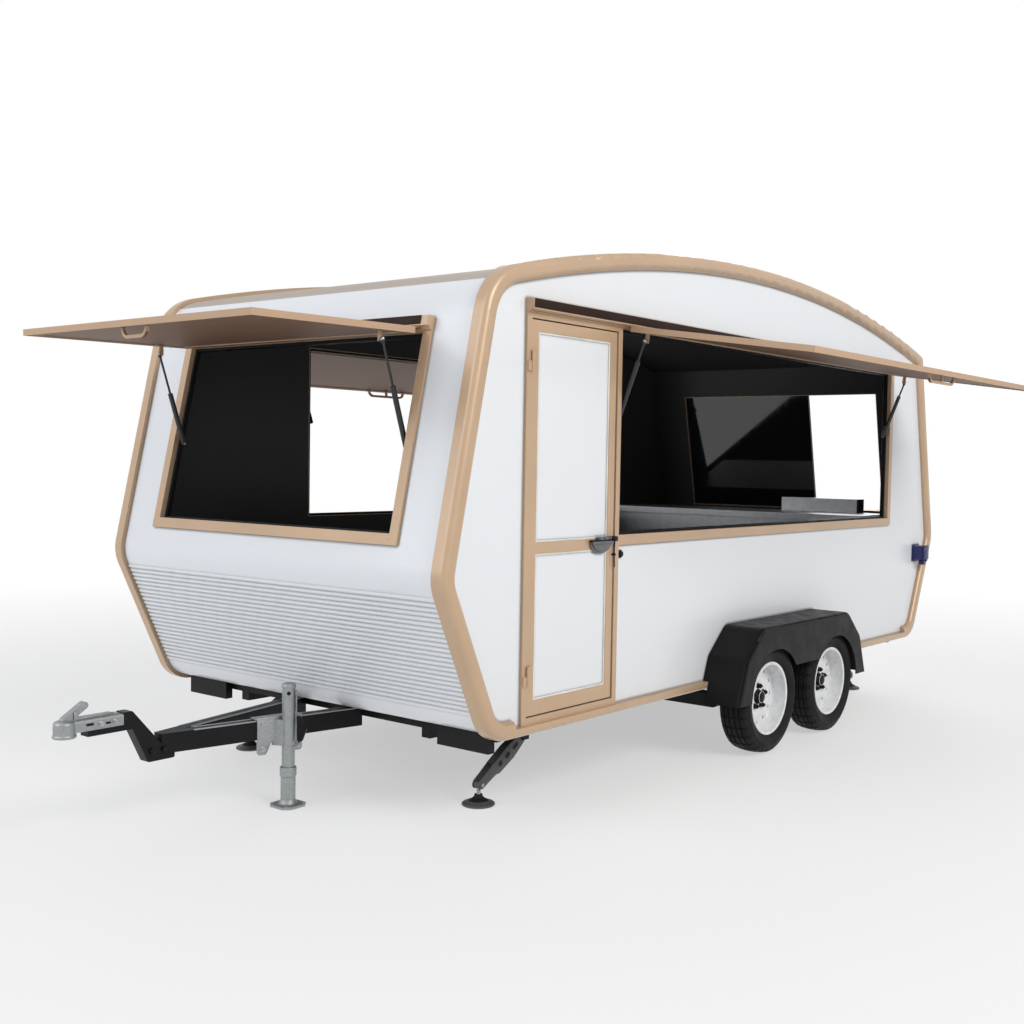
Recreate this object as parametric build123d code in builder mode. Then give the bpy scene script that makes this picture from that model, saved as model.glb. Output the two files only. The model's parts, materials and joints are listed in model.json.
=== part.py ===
from build123d import *
import math
import os

os.makedirs("parts", exist_ok=True)

# A twin-axle food trailer: +X forward to the coupling, +Y the door side, +Z up, ground at zero, millimetres

# Side profile, measured on the centre line of the edge trim, and the coupling's reach beyond the body
KINK_HALF_LENGTH = 2370.0
BASE_INSET = 280.0
TOP_INSET = 250.0
BASE_HEIGHT = 387.0
LOWER_RISE = 613.0
ROOF_HEIGHT = 2431.0
ROOF_RISE = 271.0
DRAWBAR_REACH = 906.0
BASE_BEND = 120.0
KINK_BEND = 150.0
TOP_BEND = 220.0

# Edge trim, walls and the skin panels between the walls
TRIM_RADIUS = 37.0
TRIM_Y = 1039.0
TRIM_WIDTH = 69.0
TRIM_ROUND = 28.0
WALL_FACE_Y = 1045.0
WALL_THICKNESS = 40.0
SKIN_OUTSIDE = 18.0
SKIN_THICKNESS = 40.0
ROOF_SEAM_INSET = 40.0
FLOOR_SEAM_INSET = 80.0
RIB_COUNT = 24
RIB_RADIUS = 12.0
RIB_RISE = 5.0
RIB_END_MARGIN = 8.0

# Side hatches and the door, measured in from the ends of the base, the kink and the top of the wall
HATCH_END_INSET = 413.0
HATCH_SILL_RISE = 141.0
HATCH_HEAD_DROP = 114.0
DOOR_END_INSET = 202.0
DOOR_WIDTH = 597.0
DOOR_POST = 30.0
DOOR_SILL_RISE = 33.0
DOOR_HEAD_DROP = 16.0
DOOR_JAMB = 30.0

# Front and rear windows, up the sloping panel from the kink
WINDOW_HALF_WIDTH = 750.0
WINDOW_SILL = 168.0
WINDOW_TOP_INSET = 210.0

# Frames round the openings, their hinge rails and the reveal liner
FRAME_FACE = 45.0
FRAME_PROUD = 12.0
LINER = 4.0
HINGE_OUT = 29.0
HINGE_ABOVE_HEAD = 12.0
RAIL_BELOW = 7.0
RAIL_ABOVE = 48.0
RAIL_BEYOND = 16.0
BEAD_RADIUS = 6.0
BEAD_CLEARANCE = 0.3
NECK_THICKNESS = 4.0
NECK_CLEARANCE = 1.0

# Hatch panels, measured from the hinge line
HATCH_GAP = 6.0
HATCH_START = 22.0
HATCH_ABOVE = 2.0
HATCH_BELOW = 24.0
HATCH_SKIN = 4.0
HATCH_LIP = 14.0
TRAY_RECESS = 5.0
TRAY_BORDER = 40.0
SIDE_HANDLE = 330.0
FRONT_HANDLE = 170.0
HANDLE_DEPTH = 42.0
HANDLE_BAR = 13.0
HANDLE_SETBACK = 45.0
SIDE_DROOP = 8.0
FRONT_DROOP = 13.0

# Gas struts
STRUT_INSET = 26.0
STRUT_PIVOT_OUT = -52.0
STRUT_EYE_BELOW = 56.0
SIDE_EYE = 90.0
FRONT_EYE = 180.0
SIDE_PIVOT_SHARE = 0.45
FRONT_PIVOT_SHARE = 0.575
TUBE_RADIUS = 11.0
ROD_RADIUS = 5.0
ROD_CLEARANCE = 0.2
PIN_RADIUS = 5.0
PIN_CLEARANCE = 0.05
EYE_RADIUS = 10.0
EYE_WIDTH = 12.0
SOCKET_RADIUS = 8.0
SOCKET_LENGTH = 18.0
STUD_PLATE = 4.0
STUD_RADIUS = 4.0
STUD_GAP = 0.5
STUD_REACH = 14.0
TUBE_SHORT_OF_CLOSED = 45.0
ROD_OVERLAP = 60.0
BORE_START = 20.0

# Rear window panes, measured from the hinge line like the hatch frames
PANE_THICKNESS = 5.0
PANE_OUTS = (-47.0, -60.0)
PANE_EDGE = 250.0

# Door leaf, hinges and lock
DOOR_GAP = 5.0
DOOR_FACE_Y = 1051.0
DOOR_THICKNESS = 43.0
DOOR_STILE = 45.0
DOOR_BOTTOM_RAIL = 60.0
DOOR_MID_DROP = 34.0
INFILL_SETBACK = 6.0
DOOR_AXIS_Y = 1064.0
DOOR_HINGE_INSET = 171.0
KNUCKLE_RADIUS = 7.0
KNUCKLE_HEIGHT = 40.0
KNUCKLE_CLEARANCE = 0.3
HINGE_LEAF = 28.0
HINGE_PIN_RADIUS = 3.5
LOCK_LENGTH = 170.0
LOCK_HEIGHT = 42.0
LOCK_PLATE = 10.0
LOCK_STANDOFF = 22.0

# Axles and wheels
AXLE_MID_BACK = 197.0
AXLE_HALF_SPREAD = 344.0
TYRE_RADIUS = 279.0
TYRE_WIDTH = 165.0
TYRE_Y = 1165.0
TYRE_BULGE = 22.0
TYRE_SHOULDER = 15.0
SIDEWALL_RADIUS = 226.0
SHOULDER_RADIUS = 271.0
RIM_RADIUS = 176.0
RIM_SEAT = 0.3
RIM_WALL = 5.0
RIM_FLANGE = 12.0
DISC_INSET = -12.0
DISC_RISE = 8.0
DISH_RADIUS = 112.0
HUB_RADIUS = 44.0
HUB_DEPTH = 66.0
CAP_RADIUS = 30.0
CAP_RISE = 26.0
WHEEL_WINDOWS = 12
WHEEL_WINDOW = 9.0
WHEEL_WINDOW_RING = 136.0
STUB_RADIUS = 20.0
STUB_CLEARANCE = 0.1
STUB_ENTRY = 50.0
STUB_END_GAP = 2.0
AXLE_TUBE = 70.0
ARM_LENGTH = 110.0
ARM_WIDTH = 56.0
ARM_THICKNESS = 25.0
ARM_Y = 985.0

# Chassis and corner steadies
CHASSIS_END_INSET = 100.0
RAIL_Y = 600.0
RAIL_WIDTH = 50.0
RAIL_DEPTH = 40.0
CROSS_WIDTH = 40.0
CROSS_DEPTH = 40.0
CROSS_HALF = 990.0
CORNER_PLATE = 38.0
CORNER_PLATE_Y = (700.0, 980.0)
CORNER_PLATE_LOW = 285.0
CORNER_PLATE_GAP = 4.0
STEADY_SETBACK = 437.0
STEADY_PIVOT_Z = 258.0
STEADY_Y = 760.0
STEADY_WIDTH = 40.0
STEADY_DEPTH = 38.0
STEADY_REACH = 280.0
STEADY_END_Z = 88.0
STEADY_HOLLOW = 18.0
STEADY_HOLLOW_DROP = 23.0
STEADY_PIN = 8.0
STEADY_LIFT = 1.0
CHEEK = 6.0
CHEEK_GAP = 1.0
CHEEK_BELOW_PIVOT = 21.0
PAD_RADIUS = 56.0
PAD_THICKNESS = 10.0
PAD_TAPER = 30.0
SCREW_RADIUS = 9.0

# Drawbar, coupling and jack, measured back from the coupling's nose
APEX_BACK = 435.0
RAIL_SLOPE = 0.21
DRAWBAR_LOW = 285.0
DRAWBAR_DEPTH = 80.0
NECK_FOOT = 60.0
NECK_TOE = 60.0
NECK_DROP = 22.0
NECK_SHOULDER = 41.0
NECK_RISE = 42.0
NECK_TONGUE = 24.0
NECK_TONGUE_END = 120.0
NECK_BEND = 8.0
HEAD_TOP = 475.0
HEAD_LENGTH = 265.0
HEAD_RADIUS = 40.0
HEAD_WIDTH = 62.0
HEAD_DEPTH = 46.0
HEAD_ROUND = 14.0
NOSE_DEPTH = 62.0
SOCKET_BORE = 25.3
SOCKET_DEPTH = 38.0
LEVER_BACK = 75.0
LEVER_RISE = 48.0
LEVER_THICKNESS = 26.0
LEVER_WIDTH = 30.0
JACK_BACK = 945.0
JACK_TUBE = 27.0
JACK_CLAMP = 12.0
JACK_LOW = 110.0
JACK_TOP = 512.0
JACK_BRACKET = 48.0
JACK_BRACKET_DROP = 28.0
RAIL_SEAT = 0.3
JACK_SLEEVE = 31.0
JACK_CLEARANCE = 0.3
JACK_SLEEVE_TOP = 165.0
JACK_FOOT = 125.0
JACK_FOOT_CORNER = 24.0
JACK_CAP = 29.0
JACK_CAP_HEIGHT = 14.0
JACK_PLATE = 10.0
JACK_HOLE = 7.0
JACK_HOLE_PITCH = 90.0

# Mudguards
GUARD_HALF_FOOT = 730.0
GUARD_FOOT_SLOPE = 80.0
GUARD_TOP_SLOPE = 160.0
GUARD_LOW = 290.0
GUARD_SHOULDER = 510.0
GUARD_TOP = 652.0
GUARD_BEND = 70.0
GUARD_SHELL = 5.0
GUARD_ROUND = 22.0
GUARD_Y = 1272.0
GUARD_GAP = 1.0
GUARD_NOTCH = 391.0
ARCH_RADIUS = 255.0
ARCH_MIDDLE = 430.0

# Power inlet, rear lamps and worktop
INLET_END_INSET = 192.0
INLET_Z = 900.0
INLET_SIZE = 95.0
INLET_ROUND = 14.0
INLET_DEPTH = 70.0
LAMP_DEPTH = 30.0
LAMP_Y = 830.0
LAMP_WIDTH = 240.0
LAMP_HEIGHT = 56.0
LAMP_GAP = 4.0
WORKTOP_DEPTH = 520.0
WORKTOP_HALF = 960.0
WORKTOP_Z = 1155.0
WORKTOP_PLATE = 40.0
WORKTOP_NOSE = 30.0
WORKTOP_PANEL = 20.0
UPSTAND = 110.0
UPSTAND_Y = 475.0
UPSTAND_WIDTH = 550.0
UPSTAND_HEIGHT = 90.0

# Places that follow from the sizes above, along the body from its middle
BASE_HALF_LENGTH = KINK_HALF_LENGTH - BASE_INSET
TOP_HALF_LENGTH = KINK_HALF_LENGTH - TOP_INSET
KINK_HEIGHT = BASE_HEIGHT + LOWER_RISE
TOP_HEIGHT = ROOF_HEIGHT - ROOF_RISE
OVERALL_LENGTH = 2 * (KINK_HALF_LENGTH + TRIM_RADIUS) + DRAWBAR_REACH
ROOF_SEAM_HALF = TOP_HALF_LENGTH - ROOF_SEAM_INSET
FLOOR_SEAM_HALF = BASE_HALF_LENGTH - FLOOR_SEAM_INSET
DOOR_FRONT = BASE_HALF_LENGTH - DOOR_END_INSET
DOOR_REAR = DOOR_FRONT - DOOR_WIDTH
HATCH_REAR = HATCH_END_INSET - BASE_HALF_LENGTH
HATCH_FRONT = DOOR_REAR - DOOR_POST
HATCH_SILL = KINK_HEIGHT + HATCH_SILL_RISE
HATCH_HEAD = TOP_HEIGHT - HATCH_HEAD_DROP
DOOR_SILL = BASE_HEIGHT + DOOR_SILL_RISE
DOOR_HEAD = HATCH_HEAD - DOOR_HEAD_DROP
DOOR_MID_RAIL = HATCH_SILL - DOOR_MID_DROP
DOOR_HINGES = (DOOR_SILL + DOOR_HINGE_INSET, DOOR_HEAD - DOOR_HINGE_INSET)
CHASSIS_END = BASE_HALF_LENGTH - CHASSIS_END_INSET
STEADY_PIVOT_HALF = CHASSIS_END - STEADY_SETBACK
INLET_X = INLET_END_INSET - KINK_HALF_LENGTH
GUARD_HALF_SHOULDER = GUARD_HALF_FOOT - GUARD_FOOT_SLOPE
GUARD_HALF_TOP = GUARD_HALF_SHOULDER - GUARD_TOP_SLOPE
BODY_MID_X = KINK_HALF_LENGTH + TRIM_RADIUS - OVERALL_LENGTH / 2
WALL_INNER_Y = WALL_FACE_Y - WALL_THICKNESS
FLOOR_UNDERSIDE = BASE_HEIGHT - SKIN_OUTSIDE
FLOOR_TOP = FLOOR_UNDERSIDE + SKIN_THICKNESS


def side_plane(y):
    """Vertical plane at a distance y from the centre line, its own x measured from the middle of the body."""
    return Plane(origin=(BODY_MID_X, y, 0), x_dir=(1, 0, 0), z_dir=(0, -1, 0))


def upright_plane(y):
    """Vertical plane at a distance y from the centre line, its own x the trailer's own."""
    return Plane(origin=(0, y, 0), x_dir=(1, 0, 0), z_dir=(0, -1, 0))


def guard_outline():
    """Outer outline of a mudguard, seen from the side, about the middle of the axle pair."""
    with BuildSketch() as outline:
        with BuildLine():
            Polyline(
                (-GUARD_HALF_FOOT, GUARD_LOW),
                (-GUARD_HALF_SHOULDER, GUARD_SHOULDER),
                (-GUARD_HALF_TOP, GUARD_TOP),
                (GUARD_HALF_TOP, GUARD_TOP),
                (GUARD_HALF_SHOULDER, GUARD_SHOULDER),
                (GUARD_HALF_FOOT, GUARD_LOW),
                close=True,
            )
        make_face()
        fillet(outline.vertices().group_by(Axis.Y)[1:], GUARD_BEND)
    return outline.sketch


def body_outline(grow):
    """Closed side profile of the body, grown outwards from the trim's centre line."""
    with BuildSketch() as outline:
        with BuildLine():
            Polyline(
                (-TOP_HALF_LENGTH, TOP_HEIGHT),
                (-KINK_HALF_LENGTH, KINK_HEIGHT),
                (-BASE_HALF_LENGTH, BASE_HEIGHT),
                (BASE_HALF_LENGTH, BASE_HEIGHT),
                (KINK_HALF_LENGTH, KINK_HEIGHT),
                (TOP_HALF_LENGTH, TOP_HEIGHT),
            )
            ThreePointArc((TOP_HALF_LENGTH, TOP_HEIGHT), (0, ROOF_HEIGHT), (-TOP_HALF_LENGTH, TOP_HEIGHT))
        make_face()
        for height, bend in ((BASE_HEIGHT, BASE_BEND), (KINK_HEIGHT, KINK_BEND), (TOP_HEIGHT, TOP_BEND)):
            corners = outline.vertices().filter_by_position(Axis.Y, height, height)
            fillet(corners, bend)
        if grow:
            offset(amount=grow)
    return outline.sketch


def save(piece, name):
    """Label a finished piece and write it out under its own name."""
    piece.part.label = name
    export_step(piece.part, f"parts/{name}.step")


# Straight stretch of the lower front, where the ribs run
LOWER_LENGTH = math.hypot(BASE_INSET, LOWER_RISE)
LOWER_LEAN = math.degrees(math.atan2(BASE_INSET, LOWER_RISE))
UPPER_RISE = TOP_HEIGHT - KINK_HEIGHT
UPPER_LEAN = math.degrees(math.atan2(TOP_INSET, UPPER_RISE))
WINDOW_HEAD = math.hypot(TOP_INSET, UPPER_RISE) - WINDOW_TOP_INSET
BASE_TANGENT = BASE_BEND * math.tan(math.radians(90 - LOWER_LEAN) / 2)
KINK_TANGENT = KINK_BEND * math.tan(math.radians(LOWER_LEAN + UPPER_LEAN) / 2)
RIB_FIRST = BASE_TANGENT + RIB_END_MARGIN + RIB_RADIUS
RIB_LAST = LOWER_LENGTH - KINK_TANGENT - RIB_END_MARGIN - RIB_RADIUS
RIB_PITCH = (RIB_LAST - RIB_FIRST) / (RIB_COUNT - 1)


def rib_centres():
    """Rib centres up the lower front, set inside the skin's face so that each rib stands out by its rise."""
    lean = math.radians(LOWER_LEAN)
    depth = SKIN_OUTSIDE - RIB_RADIUS + RIB_RISE
    for index in range(RIB_COUNT):
        along = RIB_FIRST + index * RIB_PITCH
        x = BASE_HALF_LENGTH + along * math.sin(lean) + depth * math.cos(lean)
        z = BASE_HEIGHT + along * math.cos(lean) - depth * math.sin(lean)
        yield x, z


# Skin panels: each is a stretch of the ring between the side walls
# Columns: name, lowest and highest x, lowest and highest z, side that carries ribs (0 for none)
FAR = OVERALL_LENGTH
SKIN_PANELS = (
    ("floor", -FLOOR_SEAM_HALF, FLOOR_SEAM_HALF, 0, KINK_HEIGHT, 0),
    ("roof", -ROOF_SEAM_HALF, ROOF_SEAM_HALF, KINK_HEIGHT, FAR, 0),
    ("front_lower", FLOOR_SEAM_HALF, FAR, 0, KINK_HEIGHT, 1),
    ("front_upper", ROOF_SEAM_HALF, FAR, KINK_HEIGHT, FAR, 0),
    ("rear_lower", -FAR, -FLOOR_SEAM_HALF, 0, KINK_HEIGHT, -1),
    ("rear_upper", -FAR, -ROOF_SEAM_HALF, KINK_HEIGHT, FAR, 0),
)

skins = {}
for name, low_x, high_x, low_z, high_z, rib_side in SKIN_PANELS:
    with BuildPart() as skin:
        with BuildSketch(side_plane(WALL_INNER_Y)) as ring:
            add(body_outline(SKIN_OUTSIDE))
            add(body_outline(SKIN_OUTSIDE - SKIN_THICKNESS), mode=Mode.SUBTRACT)
            if rib_side:
                with Locations(*((rib_side * x, z) for x, z in rib_centres())):
                    Circle(RIB_RADIUS)
            with Locations(((low_x + high_x) / 2, (low_z + high_z) / 2)):
                Rectangle(high_x - low_x, high_z - low_z, mode=Mode.INTERSECT)
        extrude(amount=2 * WALL_INNER_Y)
    skins[name] = skin

# Edge trim: a rounded section all round the profile, let in over the wall's edge and the skin
trims = {}
for side_name, side, outer_group in (("left", 1, -1), ("right", -1, 0)):
    with BuildPart() as trim:
        with BuildSketch(side_plane(side * (TRIM_Y + TRIM_RADIUS))):
            add(body_outline(TRIM_RADIUS))
            add(body_outline(-TRIM_RADIUS), mode=Mode.SUBTRACT)
        extrude(amount=side * TRIM_WIDTH)
        fillet(trim.edges().group_by(Axis.Y)[outer_group], TRIM_ROUND)
        with BuildSketch(side_plane(side * WALL_FACE_Y)):
            add(body_outline(SKIN_OUTSIDE))
        extrude(amount=side * WALL_FACE_Y, mode=Mode.SUBTRACT)
        with BuildSketch(side_plane(side * (TRIM_Y + TRIM_RADIUS))):
            with Locations((0, DOOR_SILL - DOOR_JAMB + TRIM_RADIUS)):
                Rectangle(2 * (BASE_HALF_LENGTH - BASE_BEND), 2 * TRIM_RADIUS)
        extrude(amount=side * TRIM_WIDTH, mode=Mode.SUBTRACT)
    trims[side_name] = trim


# Serving hatches, each worked out in the frame of its own wall: along the hinge, out of the wall, up the wall
UPPER_LEAN_RAD = math.radians(UPPER_LEAN)


def on_upper_front(along, out):
    """Point on the sloping front, measured up from the kink and out from the profile line."""
    x = KINK_HALF_LENGTH - along * math.sin(UPPER_LEAN_RAD) + out * math.cos(UPPER_LEAN_RAD)
    z = KINK_HEIGHT + along * math.cos(UPPER_LEAN_RAD) + out * math.sin(UPPER_LEAN_RAD)
    return BODY_MID_X + x, 0, z


HATCH_MID_X = BODY_MID_X + (HATCH_REAR + HATCH_FRONT) / 2
HATCH_HALF = (HATCH_FRONT - HATCH_REAR) / 2
HATCH_HEIGHT = HATCH_HEAD - HATCH_SILL
SIDE_HINGE_Y = WALL_FACE_Y + HINGE_OUT
SIDE_HINGE_Z = HATCH_HEAD + HINGE_ABOVE_HEAD
FRONT_HINGE = on_upper_front(WINDOW_HEAD + HINGE_ABOVE_HEAD, SKIN_OUTSIDE + HINGE_OUT)
WINDOW_HEIGHT = WINDOW_HEAD - WINDOW_SILL
DOOR_RAIL = DOOR_FRONT + DOOR_JAMB - HATCH_FRONT

SIDE_PIVOT_DROP = SIDE_PIVOT_SHARE * HATCH_HEIGHT
FRONT_PIVOT_DROP = FRONT_PIVOT_SHARE * WINDOW_HEIGHT
LEFT_HINGE = (HATCH_MID_X, SIDE_HINGE_Y, SIDE_HINGE_Z)
RIGHT_HINGE = (HATCH_MID_X, -SIDE_HINGE_Y, SIDE_HINGE_Z)
SIDE_LEAF = (SIDE_DROOP, HATCH_HALF, HATCH_HEIGHT)
FRONT_LEAF = (FRONT_DROOP, WINDOW_HALF_WIDTH, WINDOW_HEIGHT)
SIDE_STRUT = (SIDE_EYE, SIDE_PIVOT_DROP)
FRONT_STRUT = (FRONT_EYE, FRONT_PIVOT_DROP)
EVEN_FRAME = (FRAME_FACE, FRAME_FACE)
DOOR_SIDE_FRAME = (DOOR_POST, DOOR_RAIL)
# Columns: hinge middle, heading and lean of the wall, droop, half width and height of the hatch,
# frame width and rail overhang at the far end, strut eye from and pivot below the hinge, length of the pull handle
HATCHES = {
    "left": (LEFT_HINGE, 90, 0, *SIDE_LEAF, *DOOR_SIDE_FRAME, *SIDE_STRUT, SIDE_HANDLE),
    "right": (RIGHT_HINGE, -90, 0, *SIDE_LEAF, *EVEN_FRAME, *SIDE_STRUT, SIDE_HANDLE),
    "front": (FRONT_HINGE, 0, UPPER_LEAN, *FRONT_LEAF, *EVEN_FRAME, *FRONT_STRUT, FRONT_HANDLE),
}


def wall_frame(origin, heading, lean, droop=0):
    """Frame at a hinge: x along it, y out of the wall (tipped down by the droop), z up."""
    turn, tip = math.radians(heading), math.radians(lean - droop)
    along = (math.sin(turn), -math.cos(turn), 0)
    up = (-math.cos(turn) * math.sin(tip), -math.sin(turn) * math.sin(tip), math.cos(tip))
    return Plane(origin=origin, x_dir=along, z_dir=up)


def cross_plane(frame, along):
    """Plane across a hinge, its own x out of the wall and its own y up."""
    return Plane(origin=frame.from_local_coords((along, 0, 0)), x_dir=frame.y_dir, z_dir=frame.x_dir)


def face_plane(frame, out):
    """Plane parallel to the wall, its own y up and its normal out of the wall."""
    return Plane(origin=frame.from_local_coords((0, out, 0)), x_dir=-frame.x_dir, z_dir=frame.y_dir)


def block(frame, low, high, mode=Mode.ADD):
    """Box between two corners of a frame."""
    size = [top - bottom for bottom, top in zip(low, high)]
    middle = [(top + bottom) / 2 for bottom, top in zip(low, high)]
    with Locations(frame.location * Location(middle)):
        Box(*size, mode=mode)


def hatch_frame(wall, half, height, far_width, far_rail, pivot_drop):
    """Frame round an opening: face ring, liner through the wall, hinge rail with its groove, strut pins."""
    sill = -HINGE_ABOVE_HEAD - height
    head = -HINGE_ABOVE_HEAD
    with BuildPart() as frame:
        with BuildSketch(face_plane(wall, -HINGE_OUT)):
            with Locations(((FRAME_FACE - far_width) / 2, (sill - FRAME_FACE) / 2)):
                Rectangle(2 * half + FRAME_FACE + far_width, FRAME_FACE - sill)
            with Locations((0, (sill + head) / 2)):
                Rectangle(2 * half, height, mode=Mode.SUBTRACT)
        extrude(amount=FRAME_PROUD)
        with BuildSketch(face_plane(wall, -HINGE_OUT)):
            with Locations((0, (sill + head) / 2)):
                Rectangle(2 * (half + LINER), height + 2 * LINER)
                Rectangle(2 * half, height, mode=Mode.SUBTRACT)
        extrude(amount=-WALL_THICKNESS)
        with BuildSketch(cross_plane(wall, -half - FRAME_FACE)):
            with BuildLine():
                Polyline(
                    (-HINGE_OUT, -RAIL_BELOW),
                    (-HINGE_OUT, RAIL_ABOVE),
                    (RAIL_BEYOND - FRAME_PROUD, RAIL_ABOVE),
                    (RAIL_BEYOND, RAIL_ABOVE - FRAME_PROUD),
                    (RAIL_BEYOND, NECK_THICKNESS / 2 + NECK_CLEARANCE),
                    (-NECK_THICKNESS / 2 - NECK_CLEARANCE, NECK_THICKNESS / 2 + NECK_CLEARANCE),
                    (-NECK_THICKNESS / 2 - NECK_CLEARANCE, -RAIL_BELOW),
                    close=True,
                )
            make_face()
            Circle(BEAD_RADIUS + BEAD_CLEARANCE, mode=Mode.SUBTRACT)
        extrude(amount=2 * half + FRAME_FACE + far_rail)
        for side in (-1, 1):
            with BuildSketch(cross_plane(wall, side * half)):
                with Locations((STRUT_PIVOT_OUT, -pivot_drop)):
                    Circle(PIN_RADIUS)
            extrude(amount=-side * (STRUT_INSET + EYE_WIDTH / 2))
    return frame


def hatch_panel(rest, half, height, eye, handle):
    """Tray of a hatch with its hinge bead, pull handle and strut studs, and the skin let into its top."""
    depth = height + HINGE_ABOVE_HEAD - HATCH_GAP
    width = half - HATCH_GAP
    with BuildPart() as tray:
        block(rest, (-width, HATCH_START, -HATCH_BELOW), (width, depth, HATCH_ABOVE))
        skin_low = (HATCH_LIP - width, HATCH_START + HATCH_LIP, HATCH_ABOVE - HATCH_SKIN)
        skin_high = (width - HATCH_LIP, depth - HATCH_LIP, HATCH_ABOVE)
        block(rest, skin_low, skin_high, mode=Mode.SUBTRACT)
        recess_low = (TRAY_BORDER - width, HATCH_START + TRAY_BORDER, -HATCH_BELOW)
        recess_high = (width - TRAY_BORDER, depth - TRAY_BORDER, TRAY_RECESS - HATCH_BELOW)
        block(rest, recess_low, recess_high, mode=Mode.SUBTRACT)
        neck = NECK_THICKNESS / 2
        block(rest, (-width, 0, -neck), (width, HATCH_START + HATCH_LIP / 2, neck))
        with BuildSketch(cross_plane(rest, -width)):
            Circle(BEAD_RADIUS)
        extrude(amount=2 * width)
        with BuildSketch(face_plane(rest, depth - HANDLE_SETBACK)):
            with Locations((0, -HATCH_BELOW)):
                SlotOverall(handle, 2 * HANDLE_DEPTH)
                SlotOverall(handle - 2 * HANDLE_BAR, 2 * (HANDLE_DEPTH - HANDLE_BAR), mode=Mode.SUBTRACT)
                if handle > FRONT_HANDLE:
                    Rectangle(HANDLE_BAR, 2 * HANDLE_DEPTH - HANDLE_BAR)
            Rectangle(handle, 2 * HATCH_BELOW, mode=Mode.SUBTRACT)
        extrude(amount=HANDLE_BAR)
        for side in (-1, 1):
            near = side * (half - STRUT_INSET - STUD_REACH)
            far = near - side * STUD_PLATE
            plate_low = (min(near, far), eye - EYE_RADIUS, -STRUT_EYE_BELOW - EYE_RADIUS)
            plate_high = (max(near, far), eye + EYE_RADIUS, -HATCH_BELOW)
            block(rest, plate_low, plate_high)
            with BuildSketch(cross_plane(rest, near)):
                with Locations((eye, -STRUT_EYE_BELOW)):
                    Circle(STUD_RADIUS)
            extrude(amount=side * (STUD_REACH - SOCKET_RADIUS - STUD_GAP))
    with BuildPart() as skin:
        block(rest, skin_low, skin_high)
    return tray, skin


def strut_lengths(droop, eye, pivot_drop):
    """Rest direction of a strut (out, up) and its length with the hatch open and closed."""
    tip = math.radians(droop)
    out = eye * math.cos(tip) - STRUT_EYE_BELOW * math.sin(tip) - STRUT_PIVOT_OUT
    up = pivot_drop - eye * math.sin(tip) - STRUT_EYE_BELOW * math.cos(tip)
    open_length = math.hypot(out, up)
    closed_length = math.hypot(-STRUT_EYE_BELOW - STRUT_PIVOT_OUT, pivot_drop - eye)
    return (out / open_length, up / open_length), open_length, closed_length


def struts(wall, half, droop, eye, pivot_drop):
    """The pair of strut tubes on their frame pins, and the pair of rods that reach up to the hatch."""
    (out, up), open_length, closed_length = strut_lengths(droop, eye, pivot_drop)
    tube_length = closed_length - TUBE_SHORT_OF_CLOSED
    rod_length = open_length - tube_length + ROD_OVERLAP
    lines = []
    for side in (-1, 1):
        along = side * (half - STRUT_INSET)
        foot = wall.from_local_coords((along, STRUT_PIVOT_OUT, -pivot_drop))
        lines.append((along, Plane(origin=foot, x_dir=wall.x_dir, z_dir=wall.y_dir * out + wall.z_dir * up)))
    with BuildPart() as tubes:
        for along, line in lines:
            with BuildSketch(line.offset(EYE_WIDTH / 2)):
                Circle(TUBE_RADIUS)
            extrude(amount=tube_length - EYE_WIDTH / 2)
            with BuildSketch(cross_plane(wall, along - EYE_WIDTH / 2)):
                with Locations((STRUT_PIVOT_OUT, -pivot_drop)):
                    Circle(EYE_RADIUS)
            extrude(amount=EYE_WIDTH)
            with BuildSketch(line.offset(BORE_START)):
                Circle(ROD_RADIUS + ROD_CLEARANCE)
            extrude(amount=tube_length, mode=Mode.SUBTRACT)
            with BuildSketch(cross_plane(wall, along - TUBE_RADIUS)):
                with Locations((STRUT_PIVOT_OUT, -pivot_drop)):
                    Circle(PIN_RADIUS + PIN_CLEARANCE)
            extrude(amount=2 * TUBE_RADIUS, mode=Mode.SUBTRACT)
    with BuildPart() as rods:
        for along, line in lines:
            with BuildSketch(line.offset(open_length - rod_length)):
                Circle(ROD_RADIUS)
            extrude(amount=rod_length)
            with BuildSketch(line.offset(open_length - SOCKET_LENGTH)):
                Circle(SOCKET_RADIUS)
            extrude(amount=SOCKET_LENGTH)
    return tubes, rods


def cut_opening(panel, wall, half, height):
    """A panel with the opening for a frame's liner cut through it."""
    low = -HINGE_ABOVE_HEAD - height - LINER
    high = LINER - HINGE_ABOVE_HEAD
    with BuildPart() as cut:
        add(panel.part)
        near, far = -HINGE_OUT - 2 * SKIN_THICKNESS, HINGE_OUT
        block(wall, (-half - LINER, near, low), (half + LINER, far, high), mode=Mode.SUBTRACT)
    return cut


frames, trays, hatch_skins, tubes, rods = {}, {}, {}, {}, {}
for name, row in HATCHES.items():
    origin, heading, lean, droop, half, height, far_width, far_rail, eye, pivot_drop, handle = row
    wall = wall_frame(origin, heading, lean)
    rest = wall_frame(origin, heading, lean, droop)
    frames[name] = hatch_frame(wall, half, height, far_width, far_rail, pivot_drop)
    trays[name], hatch_skins[name] = hatch_panel(rest, half, height, eye, handle)
    tubes[name], rods[name] = struts(wall, half, droop, eye, pivot_drop)

front_wall = wall_frame(FRONT_HINGE, 0, UPPER_LEAN)
rear_wall = wall_frame((2 * BODY_MID_X - FRONT_HINGE[0], 0, FRONT_HINGE[2]), 180, UPPER_LEAN)
skins["front_upper"] = cut_opening(skins["front_upper"], front_wall, WINDOW_HALF_WIDTH, WINDOW_HEIGHT)
skins["rear_upper"] = cut_opening(skins["rear_upper"], rear_wall, WINDOW_HALF_WIDTH, WINDOW_HEIGHT)

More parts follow.
